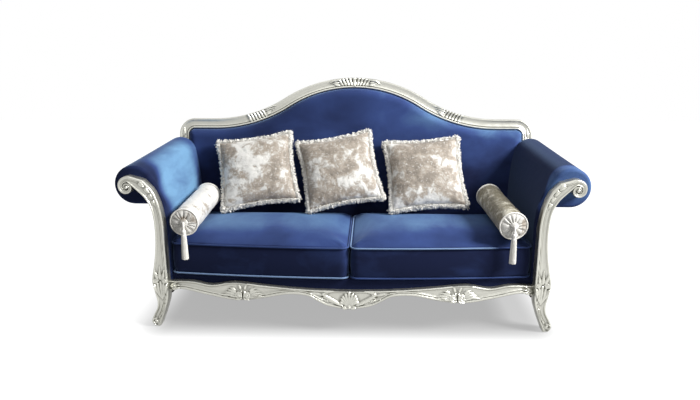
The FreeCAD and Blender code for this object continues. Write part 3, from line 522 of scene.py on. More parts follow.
class Finish(Tree):
    """A material with one Principled surface."""

    def __init__(self, name, **sockets):
        self.material = bpy.data.materials.new(name)
        super().__init__(self.material)
        self.surface = self.nodes["Principled BSDF"]
        for socket, setting in sockets.items():
            found = self.surface.inputs[socket.replace("_", " ")]
            found.default_value = (*setting, 1.0) if hasattr(setting, "__len__") else setting

    def place(self, stretch=(1.0, 1.0, 1.0)):
        spot = self.add("ShaderNodeTexCoord")
        mapping = self.add("ShaderNodeMapping")
        mapping.inputs["Scale"].default_value = stretch
        self.link(spot.outputs["Object"], mapping.inputs["Vector"])
        return mapping.outputs["Vector"]

    def noise(self, scale, detail=3.0, rough=0.55, warp=0.0, stretch=(1.0, 1.0, 1.0)):
        texture = self.add("ShaderNodeTexNoise")
        texture.inputs["Scale"].default_value = scale
        texture.inputs["Detail"].default_value = detail
        texture.inputs["Roughness"].default_value = rough
        texture.inputs["Distortion"].default_value = warp
        self.link(self.place(stretch), texture.inputs["Vector"])
        return texture.outputs["Fac"]

    def attribute(self, name):
        return self.add("ShaderNodeAttribute", attribute_name=name).outputs["Fac"]

    def ramp(self, factor, stops):
        node = self.add("ShaderNodeValToRGB")
        points = node.color_ramp.elements
        while len(points) < len(stops):
            points.new(0.5)
        for point, (position, tone) in zip(points, stops):
            point.position = position
            point.color = (*tone, 1.0)
        self.link(factor, node.inputs["Fac"])
        return node.outputs["Color"]

    def blend(self, factor, first, second, mode="MIX"):
        node = self.add("ShaderNodeMix", data_type="RGBA", blend_type=mode)
        for socket, setting in zip(("Factor_Float", "A_Color", "B_Color"), (factor, first, second)):
            target = next(entry for entry in node.inputs if entry.identifier == socket)
            if hasattr(setting, "is_linked"):
                self.link(setting, target)
            else:
                target.default_value = (*setting, 1.0) if hasattr(setting, "__len__") else setting
        return next(entry for entry in node.outputs if entry.identifier == "Result_Color")

    def bump(self, height, strength, distance, under=None):
        node = self.add("ShaderNodeBump")
        node.inputs["Strength"].default_value = strength
        node.inputs["Distance"].default_value = distance
        self.link(height, node.inputs["Height"])
        if under is not None:
            self.link(under, node.inputs["Normal"])
        return node.outputs["Normal"]

    def colour(self, source):
        self.link(source, self.surface.inputs["Base Color"])

    def rough(self, source):
        self.link(source, self.surface.inputs["Roughness"])

    def relief(self, source):
        self.link(source, self.surface.inputs["Normal"])


def silver_paint(name):
    """Champagne silver over carved wood, rubbed bright on the high spots and dark in the hollows."""
    colours = sofa_colours()
    finish = Finish(name, Metallic=0.9, Roughness=0.34)
    worn = finish.ramp(finish.spread(finish.attribute("hollow"), -0.0035, 0.0045, 0.0, 1.0),
                       ((0.0, shade(colours.silver, 1.22)),
                        (0.42, tuple(colours.silver)), (0.62, shade(colours.silver, 0.62)),
                        (1.0, tuple(colours.patina))))
    cloud = finish.spread(finish.noise(14, 5, 0.6), 0.3, 0.7, 0.0, 0.22)
    finish.colour(finish.blend(cloud, worn, shade(colours.silver, 0.72)))
    finish.rough(finish.spread(finish.noise(60, 4, 0.6), 0.25, 0.75, 0.26, 0.46))
    finish.relief(finish.bump(finish.noise(420, 3, 0.6), 0.08, 0.0008))
    return finish.material


def velvet(name, deep, middle, light, tint):
    """Short-pile velvet in broad soft random patches, shaded from its deep tone to its light tone by the
    painted light and shade kept on each piece.
    """
    finish = Finish(name, Roughness=0.62, Specular_IOR_Level=0.06, Sheen_Weight=0.2, Sheen_Roughness=0.42,
                    Sheen_Tint=tint)
    patch = finish.spread(finish.noise(3.2, 3, 0.5, 0.3, (1.0, 1.0, 1.6)), 0.32, 0.68, 0.05, 0.25)
    stroke = finish.spread(finish.noise(6.5, 4, 0.6, 0.6, (1.0, 0.4, 1.5)), 0.3, 0.7, 0.58, 1.18)
    # Painted light and shade kept on the piece, streaked by noise and added to the random patches
    streaked_painted_light = finish.work_out("MULTIPLY", finish.attribute("nap"), stroke)
    nap = finish.work_out("ADD", patch, streaked_painted_light, clamp=True)
    fibre = finish.spread(finish.noise(900, 2, 0.6), 0.3, 0.7, 0.0, 0.35)
    under_painted_light = finish.ramp(nap, ((0.0, tuple(deep)), (0.30, tuple(middle)), (1.0, tuple(light))))
    finish.colour(finish.blend(fibre, under_painted_light, shade(deep, 0.55)))
    finish.rough(finish.spread(nap, 0.0, 1.0, 0.70, 0.50))
    soft = finish.bump(finish.noise(26, 4, 0.55, 0.4), 0.10, 0.006)
    finish.relief(finish.bump(finish.noise(1100, 2, 0.6), 0.12, 0.0006, soft))
    return finish.material


def crushed_velvet(name, pale, dark, balance=0.53, scale=11.0):
    """Crushed velvet: pile pressed into pale, ragged patches over a darker ground."""
    finish = Finish(name, Roughness=0.55, Specular_IOR_Level=0.35, Sheen_Weight=0.35, Sheen_Roughness=0.35,
                    Sheen_Tint=(1.0, 0.98, 0.95))
    middle = tuple(0.2 * a + 0.8 * b for a, b in zip(pale, dark))
    drift = finish.noise(scale * 0.5, 3, 0.5, 0.8)
    shred = finish.noise(scale * 1.9, 12, 0.66, 0.45)
    lie = finish.blend(0.52, drift, shred)
    ground = finish.ramp(lie, ((balance - 0.12, shade(dark, 0.72)), (balance - 0.05, tuple(dark)),
                               (balance - 0.012, middle), (balance + 0.012, shade(pale, 0.84)),
                               (balance + 0.05, tuple(pale))))
    fleck = finish.spread(finish.noise(scale * 9, 8, 0.7, 0.6), 0.58, 0.61, 0.0, 0.75)
    finish.colour(finish.blend(fleck, ground, tuple(pale)))
    finish.rough(finish.spread(shred, 0.35, 0.65, 0.72, 0.42))
    folds = finish.bump(shred, 0.40, 0.010)
    finish.relief(finish.bump(finish.noise(700, 2, 0.6), 0.15, 0.0008, folds))
    return finish.material


def thread(name, tone):
    """Silky off-white thread with fine strands."""
    finish = Finish(name, Roughness=0.55, Sheen_Weight=0.4, Sheen_Roughness=0.4)
    strand = finish.noise(240, 3, 0.6, 0.0, (1.0, 1.0, 0.15))
    finish.colour(finish.ramp(strand, ((0.25, shade(tone, 0.78)), (0.55, tuple(tone)),
                                       (0.8, shade(tone, 1.15)))))
    finish.relief(finish.bump(strand, 0.35, 0.0015))
    return finish.material


def planed_wood(name):
    finish = Finish(name, Roughness=0.6)
    grain = finish.noise(18, 6, 0.6, 0.8, (0.12, 1.0, 1.0))
    finish.colour(finish.ramp(grain, ((0.3, (0.035, 0.024, 0.016)), (0.55, (0.062, 0.043, 0.029)),
                                      (0.75, (0.095, 0.068, 0.046)))))
    finish.relief(finish.bump(grain, 0.2, 0.001))
    return finish.material


def steel(name, tone, rough):
    finish = Finish(name, Metallic=1.0)
    smear = finish.noise(120, 4, 0.6)
    finish.colour(finish.ramp(smear, ((0.3, shade(tone, 0.8)), (0.7, tuple(tone)))))
    finish.rough(finish.spread(smear, 0.3, 0.7, rough * 0.8, rough * 1.3))
    return finish.material


def woven(name, tone, scale):
    """Plain weave: two sets of fine waves across each other."""
    finish = Finish(name, Roughness=0.85)
    waves = []
    for direction in ("X", "Y"):
        wave = finish.add("ShaderNodeTexWave", bands_direction=direction)
        wave.inputs["Scale"].default_value = scale
        wave.inputs["Distortion"].default_value = 0.6
        finish.link(finish.place(), wave.inputs["Vector"])
        waves.append(wave.outputs["Color"])
    weave = finish.blend(0.5, waves[0], waves[1])
    finish.colour(finish.blend(weave, shade(tone, 0.6), tuple(tone)))
    finish.relief(finish.bump(weave, 0.4, 0.001))
    return finish.material


def nylon(name):
    finish = Finish(name, Roughness=0.5)
    speck = finish.noise(300, 3, 0.5)
    finish.colour(finish.ramp(speck, ((0.3, (0.012, 0.012, 0.012)), (0.7, (0.03, 0.03, 0.03)))))
    return finish.material


# Materials made so far
FINISHES = {}


def finish_of(name):
    """The named material, made the first time it is asked for."""
    colours = sofa_colours()
    makers = {
        "carved_silver": (silver_paint,),
        "blue_velvet": (velvet, colours.velvet, colours.velvet_mid, colours.velvet_painted_light, (0.45, 0.66, 1.0)),
        "blue_piping": (velvet, colours.velvet, colours.velvet_mid, colours.piping, (0.6, 0.8, 1.0)),
        "crushed_velvet": (crushed_velvet, colours.crushed_pale, colours.crushed_dark),
        "bolster_pale": (crushed_velvet, colours.crushed_pale, colours.crushed_dark, 0.43),
        # The right bolster takes the darker taupe copy of the crushed velvet, partly as painted shade
        "bolster_taupe": (crushed_velvet, colours.taupe_pale, colours.taupe, 0.56, 14.0),
        "pale_fringe": (thread, colours.fringe),
        "bolster_welt": (thread, colours.fringe),
        "tassel_thread": (thread, colours.fringe),
        "frame_wood": (planed_wood,),
        "spring_steel": (steel, (0.36, 0.36, 0.38), 0.35),
        "hardware_steel": (steel, (0.60, 0.60, 0.62), 0.28),
        "jute": (woven, (0.36, 0.26, 0.13), 160.0),
        "dust_cloth": (woven, (0.010, 0.010, 0.012), 220.0),
        "glide_plastic": (nylon,),
    }
    if name not in FINISHES:
        make, *tones = makers[name]
        FINISHES[name] = make(name, *tones)
    return FINISHES[name]


# Padding
def puff(piece, voxel, limit, pinned=None, frames=20):
    """Voxel remesh, cloth pressure for a few frames with no point moved past the limit, and a subdivision."""
    modify(piece, "REMESH", mode="VOXEL", voxel_size=voxel)
    start = points_of(piece)
    activate(piece)
    cloth = piece.modifiers.new("Puff", "CLOTH")
    settings = cloth.settings
    settings.quality = 5
    settings.use_pressure = True
    settings.uniform_pressure_force = 4.0
    settings.effector_weights.gravity = 0.0
    if pinned is not None:
        group = piece.vertex_groups.new(name="seam")
        group.add([int(index) for index in np.nonzero(pinned(start))[0]], 1.0, "REPLACE")
        settings.vertex_group_mass = "seam"
    cloth.point_cache.frame_start = 1
    cloth.point_cache.frame_end = frames
    for step in range(1, frames + 1):
        bpy.context.scene.frame_set(step)
    bpy.ops.object.modifier_apply(modifier="Puff")
    moved = points_of(piece) - start
    far = np.linalg.norm(moved, axis=1)[:, None]
    set_points(piece, start + moved * np.minimum(1.0, limit / np.maximum(far, 1e-9)))
    bpy.context.scene.frame_set(1)
    piece.vertex_groups.clear()
    modify(piece, "SUBSURF", levels=1, render_levels=1)
    activate(piece)
    bpy.ops.object.shade_smooth()
    return piece


def crease(piece, strength, scale, name):
    """Soft dents from a cloud texture, pushed along the surface's normals."""
    texture = bpy.data.textures.new(name, "CLOUDS")
    texture.noise_scale = scale
    texture.noise_depth = 2
    return modify(piece, "DISPLACE", texture=texture, strength=strength, mid_level=0.5,
                  texture_coords="LOCAL")


# Carved frame
def crest_face(x, width):
    cove = -0.0045 * np.sin(grown(x, 0.007, 0.035) * math.pi)
    return cove + bead(x, 0.0505, 0.0062, 0.0052) - bead(x, 0.0425, 0.0020, 0.0034)


def crest_strokes(route):
    """Gadroons and leaves at the peak and at both dips of the crest, and a scroll on each ear."""
    middle = route.length / 2
    strokes = []

    def stroke(spots, wide, tall, tip):
        strokes.append(ridge([route.at(*spot) for spot in spots], wide, tall, tip))

    def leaf(root, tip, levels, wide, tall):
        stroke(zip((root, (root + tip) / 2, tip), levels), wide, tall, 0.15)

    stroke([(middle, 0.040), (middle, 0.008)], 0.0115, 0.0085, 0.9)
    for side in (-1, 1):
        for count in range(4):
            foot = middle + side * (0.017 + 0.0165 * count)
            tip = middle + side * (0.026 + 0.0195 * count)
            stroke([(foot, 0.039), (tip, 0.005 + 0.002 * count)],
                   0.0085 - 0.0006 * count, 0.0075 - 0.0005 * count, 0.85)
        for count in range(3):
            leaf(middle + side * 0.092, middle + side * (0.150 - 0.016 * count),
                 (0.010 + 0.013 * count, 0.012 + 0.011 * count, 0.022 + 0.004 * count), 0.0075, 0.0065)
        dip = route.distance_at_x(side * 0.545)
        inward = -side
        for count in range(6):
            spot = dip + inward * (count - 2.5) * 0.0165
            stroke([(spot - inward * 0.005, 0.002), (spot + inward * 0.005, 0.040)], 0.0072, 0.0065, 0.8)
        for count in range(4):
            leaf(dip + inward * 0.052, dip + inward * (0.118 - 0.012 * count),
                 (0.004 + 0.011 * count, 0.006 + 0.009 * count, 0.014 + 0.006 * count), 0.0068, 0.0060)
        end = middle + side * (route.length / 2 - 0.016)
        strokes.append(curl(route.at(end, 0.028), 0.014, 90, 1.2 * side, 0.005, 0.005))
        stroke([(end - side * 0.018, 0.024), (end - side * 0.075, 0.018)], 0.008, 0.005, 0.2)
    return strokes


def make_crest():
    sizes = sofa_sizes()
    route = crest_route()
    rows = int(route.length / CARVE_STEP)
    distance = np.linspace(0, route.length, rows)
    near = route.at(distance)
    far = route.at(distance, sizes.crest_width)

    def place(x, w, depth):
        return on_back(x, depth - sizes.crest_proud, w)

    crest = carved_strip("carved_crest", near, far, place, crest_face,
                         sizes.frame_depth + sizes.crest_proud, crest_strokes(route))
    dress(crest, "carved_silver", "frame", "crest_rail")


# Inner and outer edges of the right front post from the foot to the neck of the volute
POST_INNER_EDGE = ((0.893, 0.004), (0.883, 0.030), (0.870, 0.062), (0.858, 0.098), (0.848, 0.130),
                   (0.843, 0.165), (0.842, 0.231), (0.842, 0.300), (0.842, 0.358), (0.842, 0.425),
                   (0.842, 0.490), (0.847, 0.545), (0.858, 0.600), (0.882, 0.660), (0.922, 0.706))
POST_OUTER_EDGE = ((0.921, 0.004), (0.934, 0.026), (0.922, 0.058), (0.905, 0.092), (0.901, 0.128),
                   (0.910, 0.175), (0.918, 0.231), (0.906, 0.295), (0.895, 0.358), (0.888, 0.425),
                   (0.887, 0.485), (0.890, 0.535), (0.899, 0.580), (0.922, 0.624), (0.950, 0.654))
# Volute: its eye, the angle where it starts, how far out it lies after turning in degrees, and where it ends
VOLUTE_EYE = (1.000, 0.672)
VOLUTE_START = 124.0
VOLUTE_TURNING = (0.0, 34.0, 124.0, 214.0, 304.0, 394.0, 484.0, 574.0, 700.0)
VOLUTE_REACH = (0.057, 0.0505, 0.0375, 0.0300, 0.0250, 0.0198, 0.0150, 0.0110, 0.0085)
VOLUTE_END = 560.0
EYE_RADIUS = 0.0085


def volute_edges():
    """Outer and inner edges of the band as it winds from the neck to the eye."""
    turning = np.arange(12.0, VOLUTE_END, 12.0)
    outer = np.interp(turning, VOLUTE_TURNING, VOLUTE_REACH)
    inner = np.maximum(np.interp(turning + 360.0, VOLUTE_TURNING, VOLUTE_REACH) + 0.0015, 0.004)
    turn = np.radians(VOLUTE_START - turning)
    heading = np.stack([np.cos(turn), np.sin(turn)], axis=1)
    eye = np.array(VOLUTE_EYE)
    return eye + heading * outer[:, None], eye + heading * inner[:, None]


def post_face(x, width):
    inner = np.minimum(0.0070, 0.20 * width)
    fillet = np.minimum(0.0165, 0.44 * width)
    outer = width - np.minimum(0.0055, 0.16 * width)
    cove = grown(x, fillet, np.maximum(outer - fillet, 1e-4))
    return (bead(x, inner, np.minimum(0.0062, 0.18 * width), np.minimum(0.0045, 0.12 * width))
            + bead(x, fillet, np.minimum(0.0028, 0.08 * width), np.minimum(0.0022, 0.06 * width))
            + bead(x, outer, np.minimum(0.0048, 0.14 * width), np.minimum(0.0030, 0.09 * width))
            - np.minimum(0.0045, 0.10 * width) * np.sin(cove * math.pi))


def post_strokes():
    """Acanthus on the knee, husks under the volute and a rolled toe."""
    strokes = []
    for foot_x, tip_x, tip_z in ((0.880, 0.880, 0.296), (0.868, 0.857, 0.282), (0.892, 0.902, 0.278)):
        strokes.append(ridge([(foot_x, 0.240), (tip_x, tip_z)], 0.0092, 0.0080, 0.3))
    strokes.append(curl((0.862, 0.228), 0.012, 20, 1.3, 0.0048, 0.0060))
    strokes.append(curl((0.899, 0.226), 0.012, 160, -1.3, 0.0048, 0.0060))
    for root_x, root_z, bend in ((0.852, 0.208, -0.006), (0.865, 0.214, -0.003), (0.879, 0.222, 0.0),
                                 (0.893, 0.212, 0.004), (0.907, 0.206, 0.006)):
        middle_x = (root_x + 0.876) / 2 + bend
        strokes.append(ridge([(root_x, root_z), (middle_x, 0.178), (0.876, 0.132)], 0.0085, 0.0080, 0.2))
    husks = ((0.938, 0.692, 0.917, 0.672), (0.914, 0.668, 0.899, 0.645), (0.897, 0.641, 0.887, 0.616),
             (0.885, 0.611, 0.878, 0.588))
    for count, (x0, z0, x1, z1) in enumerate(husks):
        along = np.array((x1 - x0, z1 - z0))
        aside = np.array((along[1], -along[0])) * 0.34
        for lean in (-1, 0, 1):
            root = np.array((x0, z0)) + aside * lean * 0.7
            tip = np.array((x1, z1)) + aside * lean * 0.45 + along * (0.12 if lean == 0 else -0.1)
            strokes.append(ridge([root, tip], 0.0066 - 0.0007 * count, 0.0062 - 0.0005 * count, 0.3))
    strokes.append(curl((0.915, 0.026), 0.013, 110, -1.1, 0.0045, 0.0065))
    strokes.append(ridge([(0.868, 0.112), (0.880, 0.076), (0.898, 0.046)], 0.0070, 0.0055, 0.7))
    return strokes


def wound(edge, curled):
    """An edge of the post carried on into the volute."""
    bent = smooth_line(edge)
    return np.concatenate([bent, smooth_line(np.concatenate([bent[-1:], curled]), 3)[1:]])


def volute_eye(side):
    """The button in the middle of a volute."""
    deselect()
    bpy.ops.mesh.primitive_uv_sphere_add(segments=24, ring_count=14, radius=EYE_RADIUS)
    eye = bpy.context.active_object
    x, z = VOLUTE_EYE
    set_points(eye, points_of(eye) * (1.0, 0.9, 1.0) + (side * x, POST_FRONT + 0.002, z))
    store(eye, "hollow", np.zeros(len(eye.data.vertices)))
    return eye


def make_posts():
    curl_outer, curl_inner = volute_edges()
    near_line = wound(POST_INNER_EDGE, curl_outer)
    far_line = wound(POST_OUTER_EDGE, curl_inner)
    middle = (near_line + far_line) / 2
    run = np.concatenate(([0.0], np.cumsum(np.linalg.norm(np.diff(middle, axis=0), axis=1))))
    rows = np.linspace(0, run[-1], int(run[-1] / CARVE_STEP))
    near, far = (np.stack([np.interp(rows, run, line[:, k]) for k in (0, 1)], axis=1)
                 for line in (near_line, far_line))
    for name, side in SIDES:
        def place(x, z, depth):
            return np.stack([side * x, POST_FRONT + depth, z], axis=-1)

        band = carved_strip(f"{name}_band", near, far, place, post_face, POST_BACK - POST_FRONT,
                            post_strokes())
        post = smooth(join([band, volute_eye(side)], f"{name}_carved_post"), 50)
        dress(post, "carved_silver", "frame", f"{name}_front_post")


# Shaped edges of the apron's right half: share of its half length, height
APRON_TOP = ((0.0, 0.2040), (0.15, 0.2055), (0.29, 0.2100), (0.475, 0.2210), (0.63, 0.2310), (0.76, 0.2140),
             (0.87, 0.2260), (1.0, 0.2220))
APRON_LOW = ((0.0, 0.1130), (0.06, 0.1190), (0.125, 0.1310), (0.18, 0.1545), (0.235, 0.1760), (0.345, 0.1790),
             (0.5, 0.1530), (0.63, 0.1430), (0.76, 0.1580), (0.925, 0.1830), (1.0, 0.1700))
# Middle of the paired scrolls at the quarters
MOTIF_X = 0.493


def apron_edge(edge, x):
    line = smooth_line([(-share, level) for share, level in edge[:0:-1]] + list(edge))
    return np.interp(x / POST_INNER, line[:, 0], line[:, 1])


def apron_face(x, width):
    low_bead = width - 0.0075
    fillet = width - 0.0185
    cove = grown(x, 0.007, np.maximum(fillet - 0.010, 1e-4))
    return (bead(x, 0.0045, 0.0042, 0.0030) + bead(x, low_bead, 0.0068, 0.0060)
            + bead(x, fillet, 0.0030, 0.0024) - 0.0045 * np.sin(cove * math.pi))


def apron_strokes():
    """Shell and leaf sprays in the middle, paired scrolls at the quarters, a leaf at each end."""
    strokes = []

    def stroke(spots, wide, tall, tip):
        strokes.append(ridge(spots, wide, tall, tip))

    for lean in np.radians(np.linspace(-66, 66, 9)):
        heading = np.array((math.sin(lean), math.cos(lean)))
        root = np.array((0.0, 0.133))
        stroke([root + heading * 0.006, root + heading * (0.060 - 0.018 * abs(lean))], 0.0068, 0.0085, 1.1)
    stroke([(0.0, 0.131), (0.0, 0.128)], 0.0090, 0.0110, 1.0)
    for side in (-1, 1):
        strokes.append(curl((side * 0.021, 0.1265), 0.0125, 90, 1.2 * side, 0.0050, 0.0085))
        for count in range(5):
            root = (side * (0.034 + 0.012 * count), 0.136 + 0.006 * count)
            bend = (side * (0.072 + 0.012 * count), 0.150 + 0.009 * count)
            tip = (side * (0.150 - 0.017 * count), 0.166 + 0.0075 * count)
            stroke([root, bend, tip], 0.0082, 0.0080, 0.2)
        for count in range(3):
            root = (side * (0.118 + 0.012 * count), 0.180 + 0.004 * count)
            tip = (side * (0.175 + 0.012 * count), 0.188 + 0.003 * count)
            stroke([root, tip], 0.0060, 0.0055, 0.2)
        for turn in (-1, 1):
            def across(step):
                return side * (MOTIF_X + turn * step)

            strokes.append(curl((across(0.021), 0.168), 0.0150, 90 + 90 * turn * side, -1.3 * turn * side,
                                0.0055, 0.0085))
            stroke([(across(0.008), 0.186), (across(0.008), 0.156), (across(0.030), 0.148)],
                   0.0055, 0.0085, 0.8)
            for count in range(4):
                root = (across(0.036), 0.162 + 0.010 * count)
                tip = (across(0.105 - 0.014 * count), 0.166 + 0.012 * count)
                stroke([root, ((root[0] + tip[0]) / 2, root[1] + 0.008), tip], 0.0075, 0.0070, 0.2)
            stroke([(across(0.010), 0.198), (across(0.016), 0.216)], 0.0070, 0.0070, 0.5)
        for count in range(4):
            root = (side * 0.838, 0.196)
            turn = math.radians(-38 + 26 * count)
            tip = (root[0] - side * 0.040 * math.cos(turn), root[1] + 0.030 * math.sin(turn))
            stroke([root, tip], 0.0070, 0.0070, 0.6)
    return strokes


def make_apron():
    sizes = sofa_sizes()
    x = np.linspace(-POST_INNER, POST_INNER, int(2 * POST_INNER / CARVE_STEP))
    near = np.stack([x, apron_edge(APRON_TOP, x)], axis=1)
    far = np.stack([x, apron_edge(APRON_LOW, x)], axis=1)

    def place(x, z, depth):
        return np.stack([x, bow_y(x, 0.0) + depth, z], axis=-1)

    apron = carved_strip("carved_apron", near, far, place, apron_face, sizes.apron_thickness, apron_strokes())
    dress(apron, "carved_silver", "frame", "front_apron")


# How far a rear leg's foot kicks back, its depth at the rail, its taper and its drawing in to the foot
LEG_KICK = 0.050
LEG_DEPTH = 0.052
LEG_TAPER = 0.020
LEG_INSET = 0.004


def make_rear_legs():
    """Raked rear legs: a cube cut into levels, each level moved onto the leg's curve, with softened edges."""
    for name, _ in SIDES:
        node = f"{name}_rear_leg"
        floor, top = low(node), high(node)
        deselect()
        bpy.ops.mesh.primitive_cube_add(size=1.0)
        leg = bpy.context.active_object
        leg.name = f"{name}_painted_leg"
        bpy.ops.object.mode_set(mode="EDIT")
        bpy.ops.mesh.select_all(action="SELECT")
        bpy.ops.mesh.subdivide(number_cuts=15)
        bpy.ops.object.mode_set(mode="OBJECT")
        share = points_of(leg) + 0.5
        level = floor.z + share[:, 2] * (top.z - floor.z)
        below = held((RAIL_BOTTOM - level) / (RAIL_BOTTOM - floor.z))
        kick = below ** 1.5
        x = floor.x + share[:, 0] * (top.x - floor.x) + LEG_INSET * kick * (1 - 2 * share[:, 0])
        y = floor.y + LEG_KICK * kick + share[:, 1] * (LEG_DEPTH - LEG_TAPER * below)
        set_points(leg, np.stack([x, y, level], axis=1))
        modify(leg, "BEVEL", width=0.004, segments=3, limit_method="ANGLE", angle_limit=math.radians(50))
        store(leg, "hollow", np.zeros(len(leg.data.vertices)))
        smooth(leg, 45)
        dress(leg, "carved_silver", "frame", node)


# Upholstery
# How far the front of an arm is rounded, and how far its roll is puffed past the roll's radius
ARM_NOSE = 0.016
ARM_PUFF = 0.009
# Crown of an outside arm panel and radius of the cord along its foot
PANEL_CROWN = 0.007
PANEL_CORD = 0.0035


def arm_section(centre_x, centre_z):
    """Section of the right arm from its inner foot up round the roll and down to its outer foot."""
    sizes = sofa_sizes()
    radius = sizes.roll_radius + ARM_PUFF
    sweep, lift = centre_x - ARM_INNER, centre_z - sizes.arm_bend
    lean = (sweep ** 2 + lift ** 2 - radius ** 2) / (2 * (sweep - radius))
    toward = math.degrees(math.atan2(lift, centre_x - ARM_INNER - lean))
    under = centre_z - radius
    return np.concatenate([
        np.linspace((ARM_INNER, RAIL_TOP), (ARM_INNER, sizes.arm_bend), 26)[:-1],
        arc((ARM_INNER + lean, sizes.arm_bend), lean, 180, toward, 26)[:-1],
        arc((centre_x, centre_z), radius, toward, -90, 60)[:-1],
        np.linspace((centre_x, under), (ARM_OUTER + 0.001, under), 8)[:-1],
        np.linspace((ARM_OUTER, under), (ARM_OUTER, RAIL_TOP), 26),
    ])


def pad_face_y(z):
    """Front face of the back pad at a height."""
    sizes = sofa_sizes()
    rake = sizes.back_rake
    w = (z - RAIL_TOP - sizes.pad_front * math.sin(rake)) / math.cos(rake)
    return BACK_Y - sizes.pad_front * math.cos(rake) + w * math.sin(rake)


# Painted light and shade on each arm: how light it is painted where it faces right, towards the key lamp, how
# dark where it faces left and where it faces up, and how much the nose of its roll is lightened, darkened
# below nought. Then the length of its fading
ARM_PAINTED_LIGHT = {"left": (0.95, 0.0, 0.0, -0.15), "right": (0.0, 1.0, 1.0, 0.22)}
PAINTED_LIGHT_FADE = 0.12


def arm_painted_light(name, side, arm):
    """Painted light and shade on an arm: along its sides by the way they face, with a ragged band behind the
    nose of its roll.
    """
    lit, shaded, upright, nose = ARM_PAINTED_LIGHT[name]
    facing = normals_of(arm)
    y, z = points_of(arm)[:, 1:].T
    toward = held(0.9 * facing[:, 0] + 0.28 * side * -facing[:, 2])
    ragged = 0.035 * np.sin(17 * z + 0.6) + 0.010 * np.sin(43 * z + 2)
    under_painted_light = grown(y, POST_BACK + 0.01 + ragged, PAINTED_LIGHT_FADE)
    under_painted_light *= under_painted_light * (3 - 2 * under_painted_light) * np.clip((pad_face_y(z) - y) / PAINTED_LIGHT_FADE, 0.35, 1)
    band = (1 - under_painted_light) ** 3 * grown(z, sofa_sizes().arm_bend, 0.1)
    dark = shaded * held(-facing[:, 0]) + upright * held(facing[:, 2])
    return lit * toward * under_painted_light + nose * band * held(1 + facing[:, 2]) - dark * (1 - band)


def make_arms():
    """Rolled velvet arms, ended by the face of the back, with their outside panels."""
    sizes = sofa_sizes()
    rear_z = sizes.roll_height + sizes.roll_rise
    rear_y = float(pad_face_y(rear_z)) + sizes.roll_radius
    front_x = high("right_arm_pad").x - sizes.roll_radius
    front = arm_section(front_x, sizes.roll_height)
    rear = arm_section(ARM_INNER + sizes.roll_radius + sizes.rear_sweep, rear_z)
    climb = math.tan(sizes.back_rake)
    reach = (pad_face_y(front[:, 1]) - POST_BACK) / (rear_y - POST_BACK - (rear[:, 1] - front[:, 1]) * climb)
    share = np.linspace(0, 1, 60)[:, None] * reach[None, :]
    y = POST_BACK + share * (rear_y - POST_BACK)
    x = front[:, 0] + share * (rear[:, 0] - front[:, 0])
    z = front[:, 1] + share * (rear[:, 1] - front[:, 1])
    turn = np.radians(np.linspace(90, 12, 7))[:, None]
    inset = ARM_NOSE * (1 - np.cos(turn))
    rim = Route(front).normals
    ahead = np.broadcast_to(POST_BACK - ARM_NOSE * np.sin(turn), (len(turn), len(front)))
    x = np.concatenate([front[:, 0] + inset * rim[:, 0], x])
    z = np.concatenate([front[:, 1] + inset * rim[:, 1], z])
    y = np.concatenate([ahead, y])
    for name, side in SIDES:
        arm = tube(f"{name}_velvet_arm", np.stack([side * x, y, z], axis=-1))
        modify(arm, "BEVEL", width=0.007, segments=4, limit_method="ANGLE", angle_limit=math.radians(48))
        smooth(arm, 60)
        # Painted light and shade on the arm, from the way its faces turn to the key lamp
        store(arm, "nap", arm_painted_light(name, side, arm))
        dress(arm, "blue_velvet", "frame", f"{name}_arm_pad")
        make_outside_arm(name, side)


def make_outside_arm(name, side):
    """Stretched velvet on the outer side of an arm, lightly crowned, with a cord along its foot."""
    node = f"{name}_outside_arm"
    floor, top = low(node), high(node)
    up = np.linspace(0, 1, 30)
    along = np.linspace(0, 1, 60)
    z = floor.z + up * (top.z - floor.z)
    end = BACK_Y + np.maximum(z - RAIL_TOP, 0) * math.tan(sofa_sizes().back_rake) - 0.001
    y = floor.y + along[:, None] * (end[None, :] - floor.y)
    crown = PANEL_CROWN * (np.sin(along * math.pi)[:, None] * np.sin(up * math.pi)[None, :]) ** 0.6
    outer = side * (ARM_OUTER + top.x - floor.x + crown)
    face = np.stack([outer, y, np.broadcast_to(z, y.shape)], axis=-1)
    back = np.stack([np.full_like(y, side * ARM_OUTER), y, np.broadcast_to(z, y.shape)], axis=-1)
    panel = tube(f"{name}_outside_panel", np.concatenate([face, back[:, ::-1]], axis=1))
    foot = np.stack([outer[:, 0], y[:, 0], np.full(60, floor.z + 0.003)], axis=1)
    cord = hoop(f"{name}_panel_cord", foot, PANEL_CORD, 8, False)
    panel = smooth(join([panel, cord], f"{name}_outside_panel"), 45)
    dress(panel, "blue_velvet", "frame", node)


def back_half_width(w):
    """Half width of the padded back at a height up it, from the arms to the ears."""
    ear_half = EAR_X - sofa_sizes().crest_width - 0.001
    return np.interp(w, (0.0, ear_foot()), (ARM_OUTER - 0.004, ear_half))


def back_top(x, gap):
    line = crest_line(gap)
    order = np.argsort(line[:, 0])
    return np.interp(np.abs(x), line[order, 0], line[order, 1])


def back_field(foot, gap, steps):
    """Rows across and columns up the back, inside the crest: x, w and distance to the rim of each point."""
    bunch = math.pi / 2 * 0.94
    across = np.sin(np.linspace(-1, 1, 2 * steps + 1) * bunch) / math.sin(bunch)
    up = np.linspace(0, 1, steps) ** 0.92
    top = back_top(across * (EAR_X - gap), gap)
    w = foot + up[None, :] * (top[:, None] - foot)
    x = across[:, None] * np.minimum(back_half_width(np.minimum(w, ear_foot())), EAR_X - gap)
    rim = np.minimum(top[:, None] - w, (1 - np.abs(across[:, None])) * (EAR_X - gap))
    return x, w, rim


